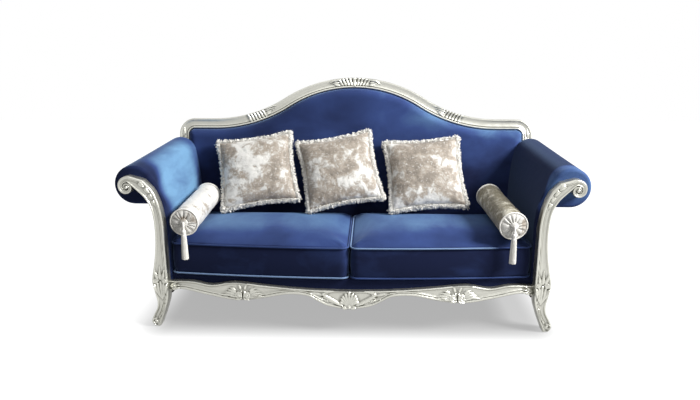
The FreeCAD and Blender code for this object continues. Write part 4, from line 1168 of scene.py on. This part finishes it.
def stile_wrap(side, foot):
    """Velvet carried round a back stile from the outside back to the arm."""
    ear = ear_foot()
    w = np.linspace(foot, ear - 0.002, 40)
    near = back_half_width(w) - 0.003
    edge = np.interp(w, (0.0, ear), (ARM_OUTER, EAR_X)) + 0.0015
    rear = sofa_sizes().frame_depth + 0.003
    section = [(near, rear), (edge - 0.006, rear), (edge - 0.002, rear - 0.002), (edge, rear - 0.006),
               (edge, 0.001), (edge - 0.002, -0.002), (edge - 0.006, -0.003), (near, -0.003),
               (near, -0.0008), (edge - 0.002, -0.0008), (edge - 0.002, rear - 0.007),
               (edge - 0.007, rear - 0.0025), (near, rear - 0.0025)]
    return tube("stile_wrap", np.stack([on_back(side * x, v, w) for x, v in section], axis=1))


# How far in from the rim the pad rolls over, and the crown of the outside back
BACK_ROLL = 0.046
OUTSIDE_CROWN = 0.010


def make_inside_back():
    """Tight velvet inside the back, crowned out of the crest rail, with painted light at the upper right and
    along its rim, and painted shade low down.
    """
    sizes = sofa_sizes()
    x, w, rim = back_field(0.002, sizes.crest_width + 0.0008, 70)
    rolled = np.sqrt(1 - (1 - held(rim / BACK_ROLL)) ** 2)
    v = -sizes.crest_proud + 0.003 - (sizes.pad_front - sizes.crest_proud + 0.003) * rolled
    face = on_back(x, v, w)
    rear = on_back(x, -0.002, w)
    height = face[..., 2]
    # Painted light at the upper right and along the rim, and painted shade low down
    right_top = grown(x, -0.05, 0.8) * grown(height, 0.70, 0.2)
    nap = 0.32 * right_top + (0.06 + 0.26 * right_top) * np.exp(-rim / 0.06)
    nap -= 0.12 * held((0.82 - height) / 0.3)
    inside = tube("velvet_back", np.concatenate([face, rear[:, ::-1]], axis=1),
                  nap=np.concatenate([nap, nap[:, ::-1]], axis=1))
    smooth(inside, 60)
    dress(inside, "blue_velvet", "frame", "inside_back_pad")


def make_outside_back():
    """Plain velvet behind the back, carried round its stiles."""
    sizes = sofa_sizes()
    foot = (BACK_LOW - RAIL_TOP) / math.cos(sizes.back_rake) + 0.001
    x, w, rim = back_field(foot, sizes.crest_width + 0.001, 50)
    crown = OUTSIDE_CROWN * np.sqrt(held(rim / 0.35))
    face = on_back(x, sizes.frame_depth + 0.002 + crown, w)
    inner = on_back(x, sizes.frame_depth - 0.0005, w)
    panel = tube("velvet_outside_back", np.concatenate([face, inner[:, ::-1]], axis=1))
    wraps = [stile_wrap(side, foot) for _, side in SIDES]
    outside = smooth(join([panel] + wraps, "velvet_outside_back"), 45)
    dress(outside, "blue_velvet", "frame", "outside_back")


# Depth and drop of the velvet tacked to the front rail behind the apron
LIP_DEPTH = 0.0012
LIP_DROP = 0.014
# Deck: radius of its front edge, its clearance and its painted shade. Then the sag of the dust cloth
DECK_EDGE = 0.014
DECK_GAP = 0.0005
DECK_SHADE = -0.5
DUST_SAG = 0.006


def make_deck():
    """Upholstered seat deck with a soft bowed front edge."""
    x = np.linspace(-DECK_HALF, DECK_HALF, 121)
    front = bow_y(x, sofa_sizes().apron_thickness) + DECK_GAP
    back = high("seat_deck").y
    ledge = RAIL_TOP + DECK_GAP
    section = [(front, RAIL_TOP - LIP_DROP), (front - LIP_DEPTH, RAIL_TOP - LIP_DROP),
               (front - LIP_DEPTH, RAIL_TOP), (front, ledge)]
    for inset, fall in arc((DECK_EDGE, -DECK_EDGE), DECK_EDGE, 180, 90, 8):
        section.append((front + inset, DECK_TOP + fall))
    edge = section[-1][0]
    section += [(edge + share * (back - edge), DECK_TOP) for share in np.linspace(0.05, 1, 30)]
    section += [(back, ledge), (front, ledge)]
    rings = [np.stack(np.broadcast_arrays(x, y, z), axis=-1) for y, z in section]
    deck = smooth(tube("velvet_deck", np.stack(rings, axis=1)), 45)
    # Painted shade over the whole deck, which holds it at the deep tone
    store(deck, "nap", np.full(len(deck.data.vertices), DECK_SHADE))
    dress(deck, "blue_velvet", "frame", "seat_deck")


def make_dust_cloth():
    """Woven cloth stretched under the seat, sagging a little."""
    floor, top = low("dust_cover"), high("dust_cover")
    across, along = (np.linspace(0, 1, steps) for steps in (60, 24))
    sag = DUST_SAG * np.sin(across * math.pi)[:, None] * np.sin(along * math.pi)[None, :]
    x = floor.x + across[:, None] * (top.x - floor.x)
    y = floor.y + along[None, :] * (top.y - floor.y)
    cloth = grid_piece("dust_cloth_sheet", np.stack(np.broadcast_arrays(x, y, top.z - 0.001 - sag), axis=-1))
    modify(cloth, "SOLIDIFY", thickness=0.0008, offset=0.0)
    smooth(cloth)
    dress(cloth, "dust_cloth", "frame", "dust_cover")


def at_level(loop, level):
    """A plan outline lifted to a height."""
    return np.concatenate([loop, np.full((len(loop), 1), level)], axis=1)


def cushion_loop(side, grow, steps=14):
    """Plan outline of a seat cushion, grown or shrunk by a margin, from its inner front corner."""
    sizes = sofa_sizes()
    node = "right_seat_cushion"
    near, far = low(node).x - grow, high(node).x + grow
    back = high(node).y + grow
    corner = max(sizes.cushion_corner + grow, 0.004)
    setback = sizes.cushion_reveal - grow
    front = np.linspace(near + corner, far - corner, 90)
    near_y = float(bow_y(near + corner, setback)) + corner
    far_y = float(bow_y(far - corner, setback)) + corner
    loop = np.concatenate([
        arc((near + corner, near_y), corner, 180, 270, steps)[:-1],
        np.stack([front, bow_y(front, setback)], axis=1)[:-1],
        arc((far - corner, far_y), corner, 270, 360, steps)[:-1],
        np.linspace((far, far_y), (far, back - corner), 56)[:-1],
        arc((far - corner, back - corner), corner, 0, 90, steps)[:-1],
        np.linspace((far - corner, back), (near + corner, back), 90)[:-1],
        arc((near + corner, back - corner), corner, 90, 180, steps)[:-1],
        np.linspace((near, back - corner), (near, near_y), 56)[:-1],
    ])
    return loop * (side, 1)


# Painted light where the piping shows pale, painted shade where it is dull, and where the right one fades to
# painted shade
PIPING_LIT = 1.5
PIPING_SHADE = 0.12
PIPING_FADE = (0.60, 0.68)


def piping_painted_light(side, points, middle):
    """Painted light below on the left cushion, and above on the right one as far as the bolster; painted
    shade on the rest.
    """
    shown = (points[:, 2] > middle) == (side > 0)
    start, end = PIPING_FADE
    fade = held((end - points[:, 0]) / (end - start))
    return PIPING_SHADE + (PIPING_LIT - PIPING_SHADE) * shown * fade


# Insets of a cushion's rings from its outline: under it, up its boxing and over its crown
CUSHION_UNDER = (0.16, 0.06, 0.012)
CUSHION_BOXING = (0.0, -0.004, -0.006, -0.004, 0.0)
CUSHION_CROWN = (0.012, 0.035, 0.070, 0.110, 0.150, 0.19)


def make_cushions():
    """Box seat cushions puffed between their piped seams."""
    sizes = sofa_sizes()
    seam = CUSHION_LOW + sizes.cushion_height
    levels = [CUSHION_LOW + 0.0015] * len(CUSHION_UNDER) + [CUSHION_LOW + sizes.piping]
    levels += [CUSHION_LOW + sizes.cushion_height * share for share in (0.25, 0.5, 0.75)] + [seam]
    for inset in CUSHION_CROWN:
        rise = math.sqrt(1 - (1 - inset / CUSHION_CROWN[-1]) ** 2)
        levels.append(seam + (sizes.cushion_crown - 0.005) * rise)
    insets = CUSHION_UNDER + CUSHION_BOXING + CUSHION_CROWN
    for name, side in SIDES:
        rings = [at_level(cushion_loop(side, -inset), level) for inset, level in zip(insets, levels)]
        cushion = tube(f"{name}_velvet_cushion", np.array(rings))

        def pinned(points):
            return (np.abs(points[:, 2] - seam) < 0.006) | (points[:, 2] < CUSHION_LOW + 0.010)

        puff(cushion, 0.0075, 0.012, pinned)
        # Painted light on the tops, stronger further back, and painted shade on the fronts
        facing = normals_of(cushion)
        inward = np.clip((points_of(cushion)[:, 1] - FRONT_Y) / 0.24, 0.45, 1)
        store(cushion, "nap", 0.36 * inward * held(facing[:, 2]) - 0.18 * held(-facing[:, 1]))
        body = f"{name}_cushion"
        dress(cushion, "blue_velvet", body, f"{name}_seat_cushion")
        loop = cushion_loop(side, sizes.piping)
        cords = [hoop(f"{name}_cord", at_level(loop, level), sizes.piping)
                 for level in (CUSHION_LOW + sizes.piping, seam)]
        piping = smooth(join(cords, f"{name}_velvet_piping"), 60)
        # Painted light and shade along the piping
        store(piping, "nap", piping_painted_light(side, points_of(piping), (CUSHION_LOW + seam) / 2))
        dress(piping, "blue_piping", body, f"{name}_cushion_piping")


# Turn of each throw pillow in its own plane, in degrees
PILLOW_TURN = {"left": 9.5, "middle": 11.5, "right": 5.0}


def pillow_matrix(name):
    """Place of a throw pillow: its centre, its lean against the back and its turn in its own plane."""
    lean = Matrix.Rotation(-sofa_sizes().pillow_lean, 4, "X")
    turn = Matrix.Rotation(-math.radians(PILLOW_TURN[name]), 4, "Y")
    return Matrix.Translation(centre_of(f"{name}_pillow_fringe")) @ lean @ turn


def placed(points, matrix):
    """Points moved from a piece's own frame to its place."""
    turned = np.array(matrix.to_3x3())
    return np.asarray(points) @ turned.T + np.array(matrix.translation)


# How far a pillow's sides are drawn in, as a share of its half size
PULL = 0.085


def pulled_in(a, b, half):
    """A square's points with its sides drawn in between the corners."""
    return half * a * (1 - PULL * (1 - b ** 2)), half * b * (1 - PULL * (1 - a ** 2))


def make_pillows():
    """Crushed velvet throw pillows puffed from two panels, with a looped fringe sewn into the seam."""
    sizes = sofa_sizes()
    steps = np.linspace(-1, 1, 60)
    a, b = np.meshgrid(steps, steps, indexing="ij")
    swell = held((1 - a ** 2) * (1 - b ** 2)) ** 0.42
    x, z = pulled_in(a, b, sizes.pillow_half - 0.004)
    for name in PILLOW_TURN:
        matrix = pillow_matrix(name)
        front = np.stack([x, -0.0035 - (sizes.pillow_front - 0.012) * swell, z], axis=-1)
        rear = np.stack([x, 0.0035 + (sizes.pillow_rear - 0.010) * swell, z], axis=-1)
        sheet = np.concatenate([front, rear[:, ::-1]], axis=1)
        pillow = tube(f"{name}_crushed_pillow", placed(sheet, matrix))
        middle, turned = np.array(matrix.translation), np.array(matrix.to_3x3())

        def pinned(points):
            spot = (points - middle) @ turned
            outmost = np.abs(spot[:, (0, 2)]).max(axis=1)
            return (np.abs(spot[:, 1]) < 0.008) & (outmost > 0.88 * sizes.pillow_half)

        puff(pillow, 0.006, 0.022, pinned)
        crease(pillow, 0.006, 0.045, f"{name}_pillow_dents")
        body = f"{name}_throw_pillow"
        dress(pillow, "crushed_velvet", body, f"{name}_pillow")
        make_fringe(name, matrix, body)


def fringe_loop():
    """One thread loop, a slim torus drawn out to a drop."""
    deselect()
    bpy.ops.mesh.primitive_torus_add(major_segments=9, minor_segments=3, major_radius=0.0038,
                                     minor_radius=0.0012)
    loop = bpy.context.active_object
    points = points_of(loop)
    points[:, 1] = (points[:, 1] + 0.0040) * 1.7
    faces = [tuple(face.vertices) for face in loop.data.polygons]
    bpy.ops.object.delete()
    return points, faces


# Rows of loops, loops in a row, radius of the core under them, and length and turning of a loop
FRINGE_ROWS = 6
FRINGE_LOOPS = 400
FRINGE_CORE = 0.0065
LOOP_LENGTH = 0.0153
LOOP_TURNING = 37


def seam_spot(spot, half):
    """A point of a pillow's seam, counted in sides from a corner, and the way out from it."""
    edge, share = int(spot) % 4, (spot % 1.0) * 2 - 1
    a, b = ((share, -1.0), (1.0, share), (-share, 1.0), (-1.0, -share))[edge]
    x, z = pulled_in(a, b, half)
    outward = Vector((a if abs(a) == 1 else a ** 5, 0, b if abs(b) == 1 else b ** 5)).normalized()
    return Vector((x, 0, z)), outward, max(min(abs(a), abs(b)) - 0.7, 0.0) / 0.3


def loop_turn(spot, outward, tilt, sway):
    """Rows of the turn that lays a loop out from the seam, tilted off its plane and swayed along it."""
    along = Vector((-outward.z, 0, outward.x))
    heading = (outward * math.cos(tilt) + Vector((0, math.sin(tilt), 0))).normalized()
    heading = (heading + along * sway).normalized()
    level = Vector((0, 1, 0)).cross(heading)
    turning = spot * LOOP_TURNING
    aside = (level * math.cos(turning) + heading.cross(level) * math.sin(turning)).normalized()
    return np.array([aside, heading, aside.cross(heading)])


def make_fringe(name, matrix, body):
    """Brushed loops of thread in unruly rows over a soft core along the seam."""
    sizes = sofa_sizes()
    draw = np.random.default_rng(len(name))
    shape, shape_faces = fringe_loop()
    half = sizes.pillow_half - 0.003
    around = np.linspace(0, 4, FRINGE_LOOPS, endpoint=False)
    core = np.array([seam_spot(spot, half + 0.4 * FRINGE_CORE)[0] for spot in around])
    core[:, 1] = 0.0015 * np.sin(around * 19)
    padding = hoop(f"{name}_fringe_core", placed(core, matrix), FRINGE_CORE, 9)
    vertices, faces = [], []
    for row in range(FRINGE_ROWS):
        lean = (row / (FRINGE_ROWS - 1) - 0.5) * 2.3
        for spot in around + draw.uniform(0, 0.01, FRINGE_LOOPS):
            base, outward, corner = seam_spot(spot, half)
            tilt = lean + draw.normal(0, 0.30)
            turned = loop_turn(spot, outward, tilt, draw.normal(0, 0.45))
            reach = sizes.fringe / LOOP_LENGTH * draw.uniform(0.70, 1.0) * (1 - 0.30 * abs(math.sin(tilt)))
            start = len(vertices) * len(shape)
            vertices.append(np.array(base) + (shape * (1.0, reach * (1 + 0.12 * corner), 1.0)) @ turned)
            faces += [tuple(start + index for index in face) for face in shape_faces]
    mesh = bpy.data.meshes.new(f"{name}_loops")
    mesh.from_pydata(placed(np.concatenate(vertices), matrix).tolist(), [], faces)
    loops = bpy.data.objects.new(f"{name}_loops", mesh)
    bpy.context.scene.collection.objects.link(loops)
    fringe = smooth(join([padding, loops], f"{name}_looped_fringe"), 180)
    dress(fringe, "pale_fringe", body, f"{name}_pillow_fringe")


# Turn of each bolster's rear end towards the middle, and its tilt up to the back, in degrees
BOLSTER_YAW = {"left": -1.5, "right": 3.0}
BOLSTER_TILT = {"left": 2.0, "right": 3.0}


def bolster_matrix(name):
    """Place of a bolster: local Z runs along it to the back, from the middle of its length."""
    side = dict(SIDES)[name]
    yaw, tilt = math.radians(BOLSTER_YAW[name]), math.radians(BOLSTER_TILT[name])
    along = Vector((-side * math.sin(yaw) * math.cos(tilt), math.cos(yaw) * math.cos(tilt), math.sin(tilt)))
    aside = along.cross(Vector((0, 0, 1))).normalized()
    above = aside.cross(along)
    turned = Matrix((aside, above, along)).transposed().to_4x4()
    return Matrix.Translation(centre_of(f"{name}_bolster")) @ turned


# Depth of the pleats between the rim and the middle of an end, and radii of its button and welt
PLEAT_DEPTH = 0.0064
BUTTON_RADIUS = 0.0200
WELT_RADIUS = 0.0036


def gathered_end(name, matrix, end):
    """A bolster's end panel: cloth gathered into uneven pleats round its middle."""
    sizes = sofa_sizes()
    draw = np.random.default_rng(7 + end + len(name))
    turn = np.linspace(0, 2 * math.pi, 160, endpoint=False)
    wander = sum(draw.uniform(0.25, 0.75) * np.sin(k * turn + draw.uniform(0, 6.28)) for k in (2, 3, 5))
    pleat = np.abs(np.sin(0.5 * sizes.pleats * turn + wander)) ** 0.8
    depth = 0.75 + 0.25 * np.sin(3 * turn + draw.uniform(0, 6.28))
    reach = np.linspace(sizes.end_radius, 0.006, 22)
    share = reach / sizes.end_radius
    dome = 0.0055 + 0.0070 * (1 - (2 * share - 1) ** 2)
    hollow = PLEAT_DEPTH * np.sin(held(share) * math.pi) ** 0.5
    level = dome[:, None] - (hollow[:, None] * (1 - pleat[None, :]) * depth[None, :])
    level[0] = 0.002
    level = np.concatenate([np.zeros((1, len(turn))), level])
    reach = np.concatenate([[sizes.end_radius], reach])[:, None]
    z = end * (sizes.bolster_length / 2 + level)
    rings = np.stack([reach * np.cos(turn), reach * np.sin(turn), z], axis=-1)
    return tube(f"{name}_end", placed(rings, matrix))


def covered_button(name, matrix, end):
    """A cloth-covered button, domed, on the middle of an end panel."""
    sizes = sofa_sizes()
    deselect()
    bpy.ops.mesh.primitive_uv_sphere_add(segments=28, ring_count=16, radius=BUTTON_RADIUS)
    button = bpy.context.active_object
    points = points_of(button)
    turn = np.arctan2(points[:, 1], points[:, 0])
    points[:, :2] *= (1 + 0.04 * np.cos(9 * turn))[:, None]
    points[:, 2] = points[:, 2] * 0.42 + end * (sizes.bolster_length / 2 + 0.0105)
    set_points(button, placed(points, matrix))
    button.name = f"{name}_button"
    return button


def circle(radius, steps):
    return arc((0.0, 0.0), radius, 0, 360, steps + 1)[:-1]


def end_cord(name, matrix, end):
    """A welt sewn round an end panel."""
    sizes = sofa_sizes()
    path = at_level(circle(sizes.end_radius + 0.0035, 120), end * (sizes.bolster_length / 2 + 0.0030))
    return hoop(f"{name}_welt", placed(path, matrix), WELT_RADIUS)


def both_ends(make, name, title, limit):
    """What a bolster has at each end, joined into one smooth piece."""
    matrix = bolster_matrix(name)
    return smooth(join([make(name, matrix, end) for end in (-1, 1)], f"{name}_{title}"), limit)


# The right bolster's cover is the darker taupe copy, partly as painted shade
BOLSTER_COVER = {"left": "bolster_pale", "right": "bolster_taupe"}


def make_bolsters():
    """Crushed velvet bolsters with gathered ends, covered buttons and cords round the ends."""
    sizes = sofa_sizes()
    half = sizes.bolster_length / 2
    mouth, lip = sizes.end_radius - 0.004, sizes.end_radius + 0.002
    profile = [(mouth, -half), (lip, -half + 0.001)]
    full = sizes.bolster_radius - 0.004
    profile += [(full, level) for level in np.linspace(0.012 - half, half - 0.012, 40)]
    profile += [(lip, half - 0.001), (mouth, half)]
    rings = np.array([at_level(circle(radius, 72), level) for radius, level in profile])
    for name, cover in BOLSTER_COVER.items():
        matrix = bolster_matrix(name)
        body = f"{name}_bolster_roll"
        roll = tube(f"{name}_crushed_bolster", placed(rings, matrix))
        axis = np.array(matrix.to_3x3().col[2])
        middle = np.array(matrix.translation)

        def pinned(points):
            return np.abs((points - middle) @ axis) > half - 0.010

        puff(roll, 0.006, 0.008, pinned)
        crease(roll, 0.005, 0.05, f"{name}_bolster_dents")
        dress(roll, cover, body, f"{name}_bolster")
        ends = both_ends(gathered_end, name, "gathered_ends", 70)
        dress(ends, "bolster_pale", body, f"{name}_bolster_ends")
        buttons = both_ends(covered_button, name, "covered_buttons", 180)
        dress(buttons, "bolster_pale", body, f"{name}_bolster_buttons")
        cords = both_ends(end_cord, name, "end_cords", 60)
        dress(cords, "bolster_welt", body, f"{name}_bolster_welts")


# Profile of a tassel: share of its length below the hook, radius
TASSEL_PROFILE = ((-0.030, 0.0030), (-0.015, 0.0050), (0.02, 0.0055), (0.10, 0.0055), (0.17, 0.0060),
                  (0.19, 0.0095), (0.22, 0.0110), (0.25, 0.0098), (0.262, 0.0080), (0.268, 0.0094),
                  (0.285, 0.0094), (0.292, 0.0086), (0.33, 0.0112), (0.45, 0.0126), (0.65, 0.0139),
                  (0.85, 0.0150), (0.985, 0.0156))
# Where the skirt of strands starts, as a share of the length, and how many show round it
SKIRT_START = 0.30
STRANDS = 34


def make_tassels():
    """Thread tassels: a cord, a bound knot and a long skirt of strands."""
    sizes = sofa_sizes()
    turn = np.linspace(0, 2 * math.pi, 4 * STRANDS, endpoint=False)
    line = np.array(TASSEL_PROFILE)
    share = np.concatenate([np.linspace(-0.030, 0.33, 60), np.linspace(0.34, 0.985, 34)])
    reach = np.interp(share, line[:, 0], line[:, 1])
    for name, side in SIDES:
        node = f"{name}_tassel"
        hook = centre_of(node)
        hook.z = high(node).z - 0.0055
        draw = np.random.default_rng(11 + side)
        loose = np.repeat(draw.uniform(0.0, 1.0, STRANDS), 4)
        skirt = grown(share, SKIRT_START, 0.05)[:, None]
        flute = np.abs(np.sin(0.5 * STRANDS * turn))[None, :] ** 0.7
        radius = reach[:, None] * (1 - 0.10 * skirt * (1 - flute))
        radius *= 1 + 0.03 * skirt * (loose - 0.5)[None, :]
        ragged = 0.004 * loose[None, :] * (share[:, None] > 0.97)
        z = hook.z - share[:, None] * sizes.tassel_length + ragged
        z = np.broadcast_to(z, radius.shape)
        rings = np.stack([hook.x + radius * np.cos(turn), hook.y + radius * np.sin(turn), z], axis=-1)
        tassel = smooth(tube(f"{name}_thread_tassel", rings), 60)
        dress(tassel, "tassel_thread", f"{name}_tassel_hanger", node)


def finish_inner_frame():
    """Finishes for the solids that stay as they are: rails, blocks, springs, webbing and glides."""
    for entry in frame["record"]["subparts"]:
        solid = frame["nodes"][entry["node"]]
        solid.data.materials.clear()
        solid.data.materials.append(finish_of(entry["material_slot"]))


# Stage
CAMERA_PLACE = (0.095, -2.978, 1.267)
CAMERA_PITCH = 14.0
CAMERA_YAW = 2.05
CAMERA_LENS = 30.857
SENSOR_WIDTH = 36.0
# Painted shadow under the sofa: half size, fade and level. Then the tones of the floor and the world
SHADE_HALF = (0.84, 0.36, 0.0)
SHADE_FADE = 0.26
SHADE_DIM = 0.44
FLOOR_GREY = 0.28
WORLD_LIGHT = 0.15


def area_lamp(name, place, target, size, power):
    bpy.ops.object.light_add(type="AREA", location=place)
    lamp = bpy.context.active_object
    lamp.name = name
    lamp.data.shape = "RECTANGLE"
    lamp.data.size, lamp.data.size_y = size
    lamp.data.energy = power
    lamp.rotation_euler = (Vector(target) - Vector(place)).to_track_quat("-Z", "Y").to_euler()


def seen_directly(tree):
    """A factor of 1 for rays that show the surface straight, in a mirror or through glass."""
    rays = tree.add("ShaderNodeLightPath").outputs
    reflected = tree.work_out("MAXIMUM", rays["Is Camera Ray"], rays["Is Glossy Ray"])
    return tree.work_out("MAXIMUM", reflected, rays["Is Transmission Ray"])


def painted_floor_shadow(tree):
    """Painted shadow on the floor: dim under the sofa, rising to white a short way from it."""
    spot = tree.add("ShaderNodeTexCoord").outputs["Object"]
    for operation, setting in (("ABSOLUTE", None), ("SUBTRACT", SHADE_HALF), ("MAXIMUM", (0.0, 0.0, 0.0))):
        step = tree.add("ShaderNodeVectorMath", operation=operation)
        tree.link(spot, step.inputs[0])
        if setting is not None:
            step.inputs[1].default_value = setting
        spot = step.outputs["Vector"]
    away = tree.add("ShaderNodeVectorMath", operation="LENGTH")
    tree.link(spot, away.inputs[0])
    return tree.spread(away.outputs["Value"], 0.0, SHADE_FADE, SHADE_DIM, 1.0,
                       interpolation_type="SMOOTHSTEP")


def floor_paint(name):
    """Matt grey that glows where it is seen, with the painted shadow under the sofa in its colour and its
    glow, so that the floor fades to white away from the sofa.
    """
    finish = Finish(name, Roughness=0.9, Specular_IOR_Level=0.0)
    level = painted_floor_shadow(finish)
    finish.colour(finish.spread(level, 0.0, 1.0, 0.0, FLOOR_GREY))
    glow = finish.add("ShaderNodeEmission")
    finish.link(finish.work_out("MULTIPLY", seen_directly(finish), level), glow.inputs["Strength"])
    total = finish.add("ShaderNodeAddShader")
    finish.link(finish.surface.outputs["BSDF"], total.inputs[0])
    finish.link(glow.outputs["Emission"], total.inputs[1])
    finish.link(total.outputs["Shader"], finish.nodes["Material Output"].inputs["Surface"])
    return finish.material


def make_floor():
    deselect()
    bpy.ops.mesh.primitive_plane_add(size=16.0)
    floor = bpy.context.active_object
    floor.name = "studio_floor"
    floor.data.materials.append(floor_paint("studio_floor"))


def make_backdrop():
    """A world that shows white and lights the sofa only a little."""
    world = bpy.data.worlds.new("studio_white")
    bpy.context.scene.world = world
    tree = Tree(world)
    backdrop = tree.nodes["Background"].inputs
    backdrop["Color"].default_value = (1.0, 1.0, 1.0, 1.0)
    tree.link(tree.spread(seen_directly(tree), 0.0, 1.0, WORLD_LIGHT, 1.0), backdrop["Strength"])


def make_lights():
    area_lamp("overhead", (-0.2, -0.4, 3.2), (0.0, 0.0, 0.3), (3.0, 1.8), 22.0)
    area_lamp("key", (4.2, -1.6, 3.4), (-0.5, 0.0, 0.6), (1.6, 1.6), 520.0)
    area_lamp("front", (0.4, -4.2, 2.0), (0.0, 0.0, 0.55), (2.4, 1.6), 9.0)


def make_camera():
    scene = bpy.context.scene
    scene.view_settings.view_transform = "Standard"
    turn = (math.radians(90 - CAMERA_PITCH), 0.0, math.radians(CAMERA_YAW))
    bpy.ops.object.camera_add(location=CAMERA_PLACE, rotation=turn)
    camera = bpy.context.active_object
    camera.data.sensor_width = SENSOR_WIDTH
    camera.data.lens = CAMERA_LENS
    scene.camera = camera


# Add-on
class SofaStep:
    """What each button does: it runs its makers in order."""

    makers = ()

    def execute(self, context):
        for make in self.makers:
            make()
        return {"FINISHED"}


class SOFA_OT_inner_frame(SofaStep, Operator):
    """Give the rails, springs, webbing and glides their finishes."""

    bl_idname = "sofa.inner_frame"
    bl_label = "Inner frame"
    makers = (finish_inner_frame,)


class SOFA_OT_carved_frame(SofaStep, Operator):
    """Carve the crest rail, front posts and apron, and shape the rear legs."""

    bl_idname = "sofa.carved_frame"
    bl_label = "Carved frame"
    makers = (make_crest, make_posts, make_apron, make_rear_legs)


class SOFA_OT_upholstery(SofaStep, Operator):
    """Cover the arms, the back and the seat deck in velvet."""

    bl_idname = "sofa.upholstery"
    bl_label = "Tight upholstery"
    makers = (make_arms, make_inside_back, make_outside_back, make_deck, make_dust_cloth)


class SOFA_OT_cushions(SofaStep, Operator):
    """Puff the seat cushions and pipe their seams."""

    bl_idname = "sofa.cushions"
    bl_label = "Seat cushions"
    makers = (make_cushions,)


class SOFA_OT_pillows(SofaStep, Operator):
    """Puff the throw pillows and sew on their fringes."""

    bl_idname = "sofa.pillows"
    bl_label = "Throw pillows"
    makers = (make_pillows,)


class SOFA_OT_bolsters(SofaStep, Operator):
    """Make the bolsters with their gathered ends and tassels."""

    bl_idname = "sofa.bolsters"
    bl_label = "Bolsters and tassels"
    makers = (make_bolsters, make_tassels)


class SOFA_OT_stage(SofaStep, Operator):
    """Set up the pale floor, the soft lights and the camera."""

    bl_idname = "sofa.stage"
    bl_label = "Studio stage"
    makers = (make_floor, make_backdrop, make_lights, make_camera)


STEPS = (SOFA_OT_inner_frame, SOFA_OT_carved_frame, SOFA_OT_upholstery, SOFA_OT_cushions, SOFA_OT_pillows,
         SOFA_OT_bolsters, SOFA_OT_stage)


class SOFA_PT_parts(Panel):
    """Buttons for the sofa's pieces and its stage."""

    bl_idname = "SOFA_PT_parts"
    bl_label = "Throne sofa"
    bl_space_type = "VIEW_3D"
    bl_region_type = "UI"
    bl_category = "Sofa"

    def draw(self, context):
        for step in STEPS:
            self.layout.operator(step.bl_idname)


CLASSES = (SofaSizes, SofaColours, *STEPS, SOFA_PT_parts)


def register():
    for entry in CLASSES:
        bpy.utils.register_class(entry)
    bpy.types.Scene.sofa_sizes = PointerProperty(type=SofaSizes)
    bpy.types.Scene.sofa_colours = PointerProperty(type=SofaColours)


def unregister():
    del bpy.types.Scene.sofa_colours
    del bpy.types.Scene.sofa_sizes
    for entry in reversed(CLASSES):
        bpy.utils.unregister_class(entry)


def main():
    register()
    bpy.ops.sofa.inner_frame()
    bpy.ops.sofa.carved_frame()
    bpy.ops.sofa.upholstery()
    bpy.ops.sofa.cushions()
    bpy.ops.sofa.pillows()
    bpy.ops.sofa.bolsters()
    bpy.ops.sofa.stage()


if __name__ == "__main__":
    main()
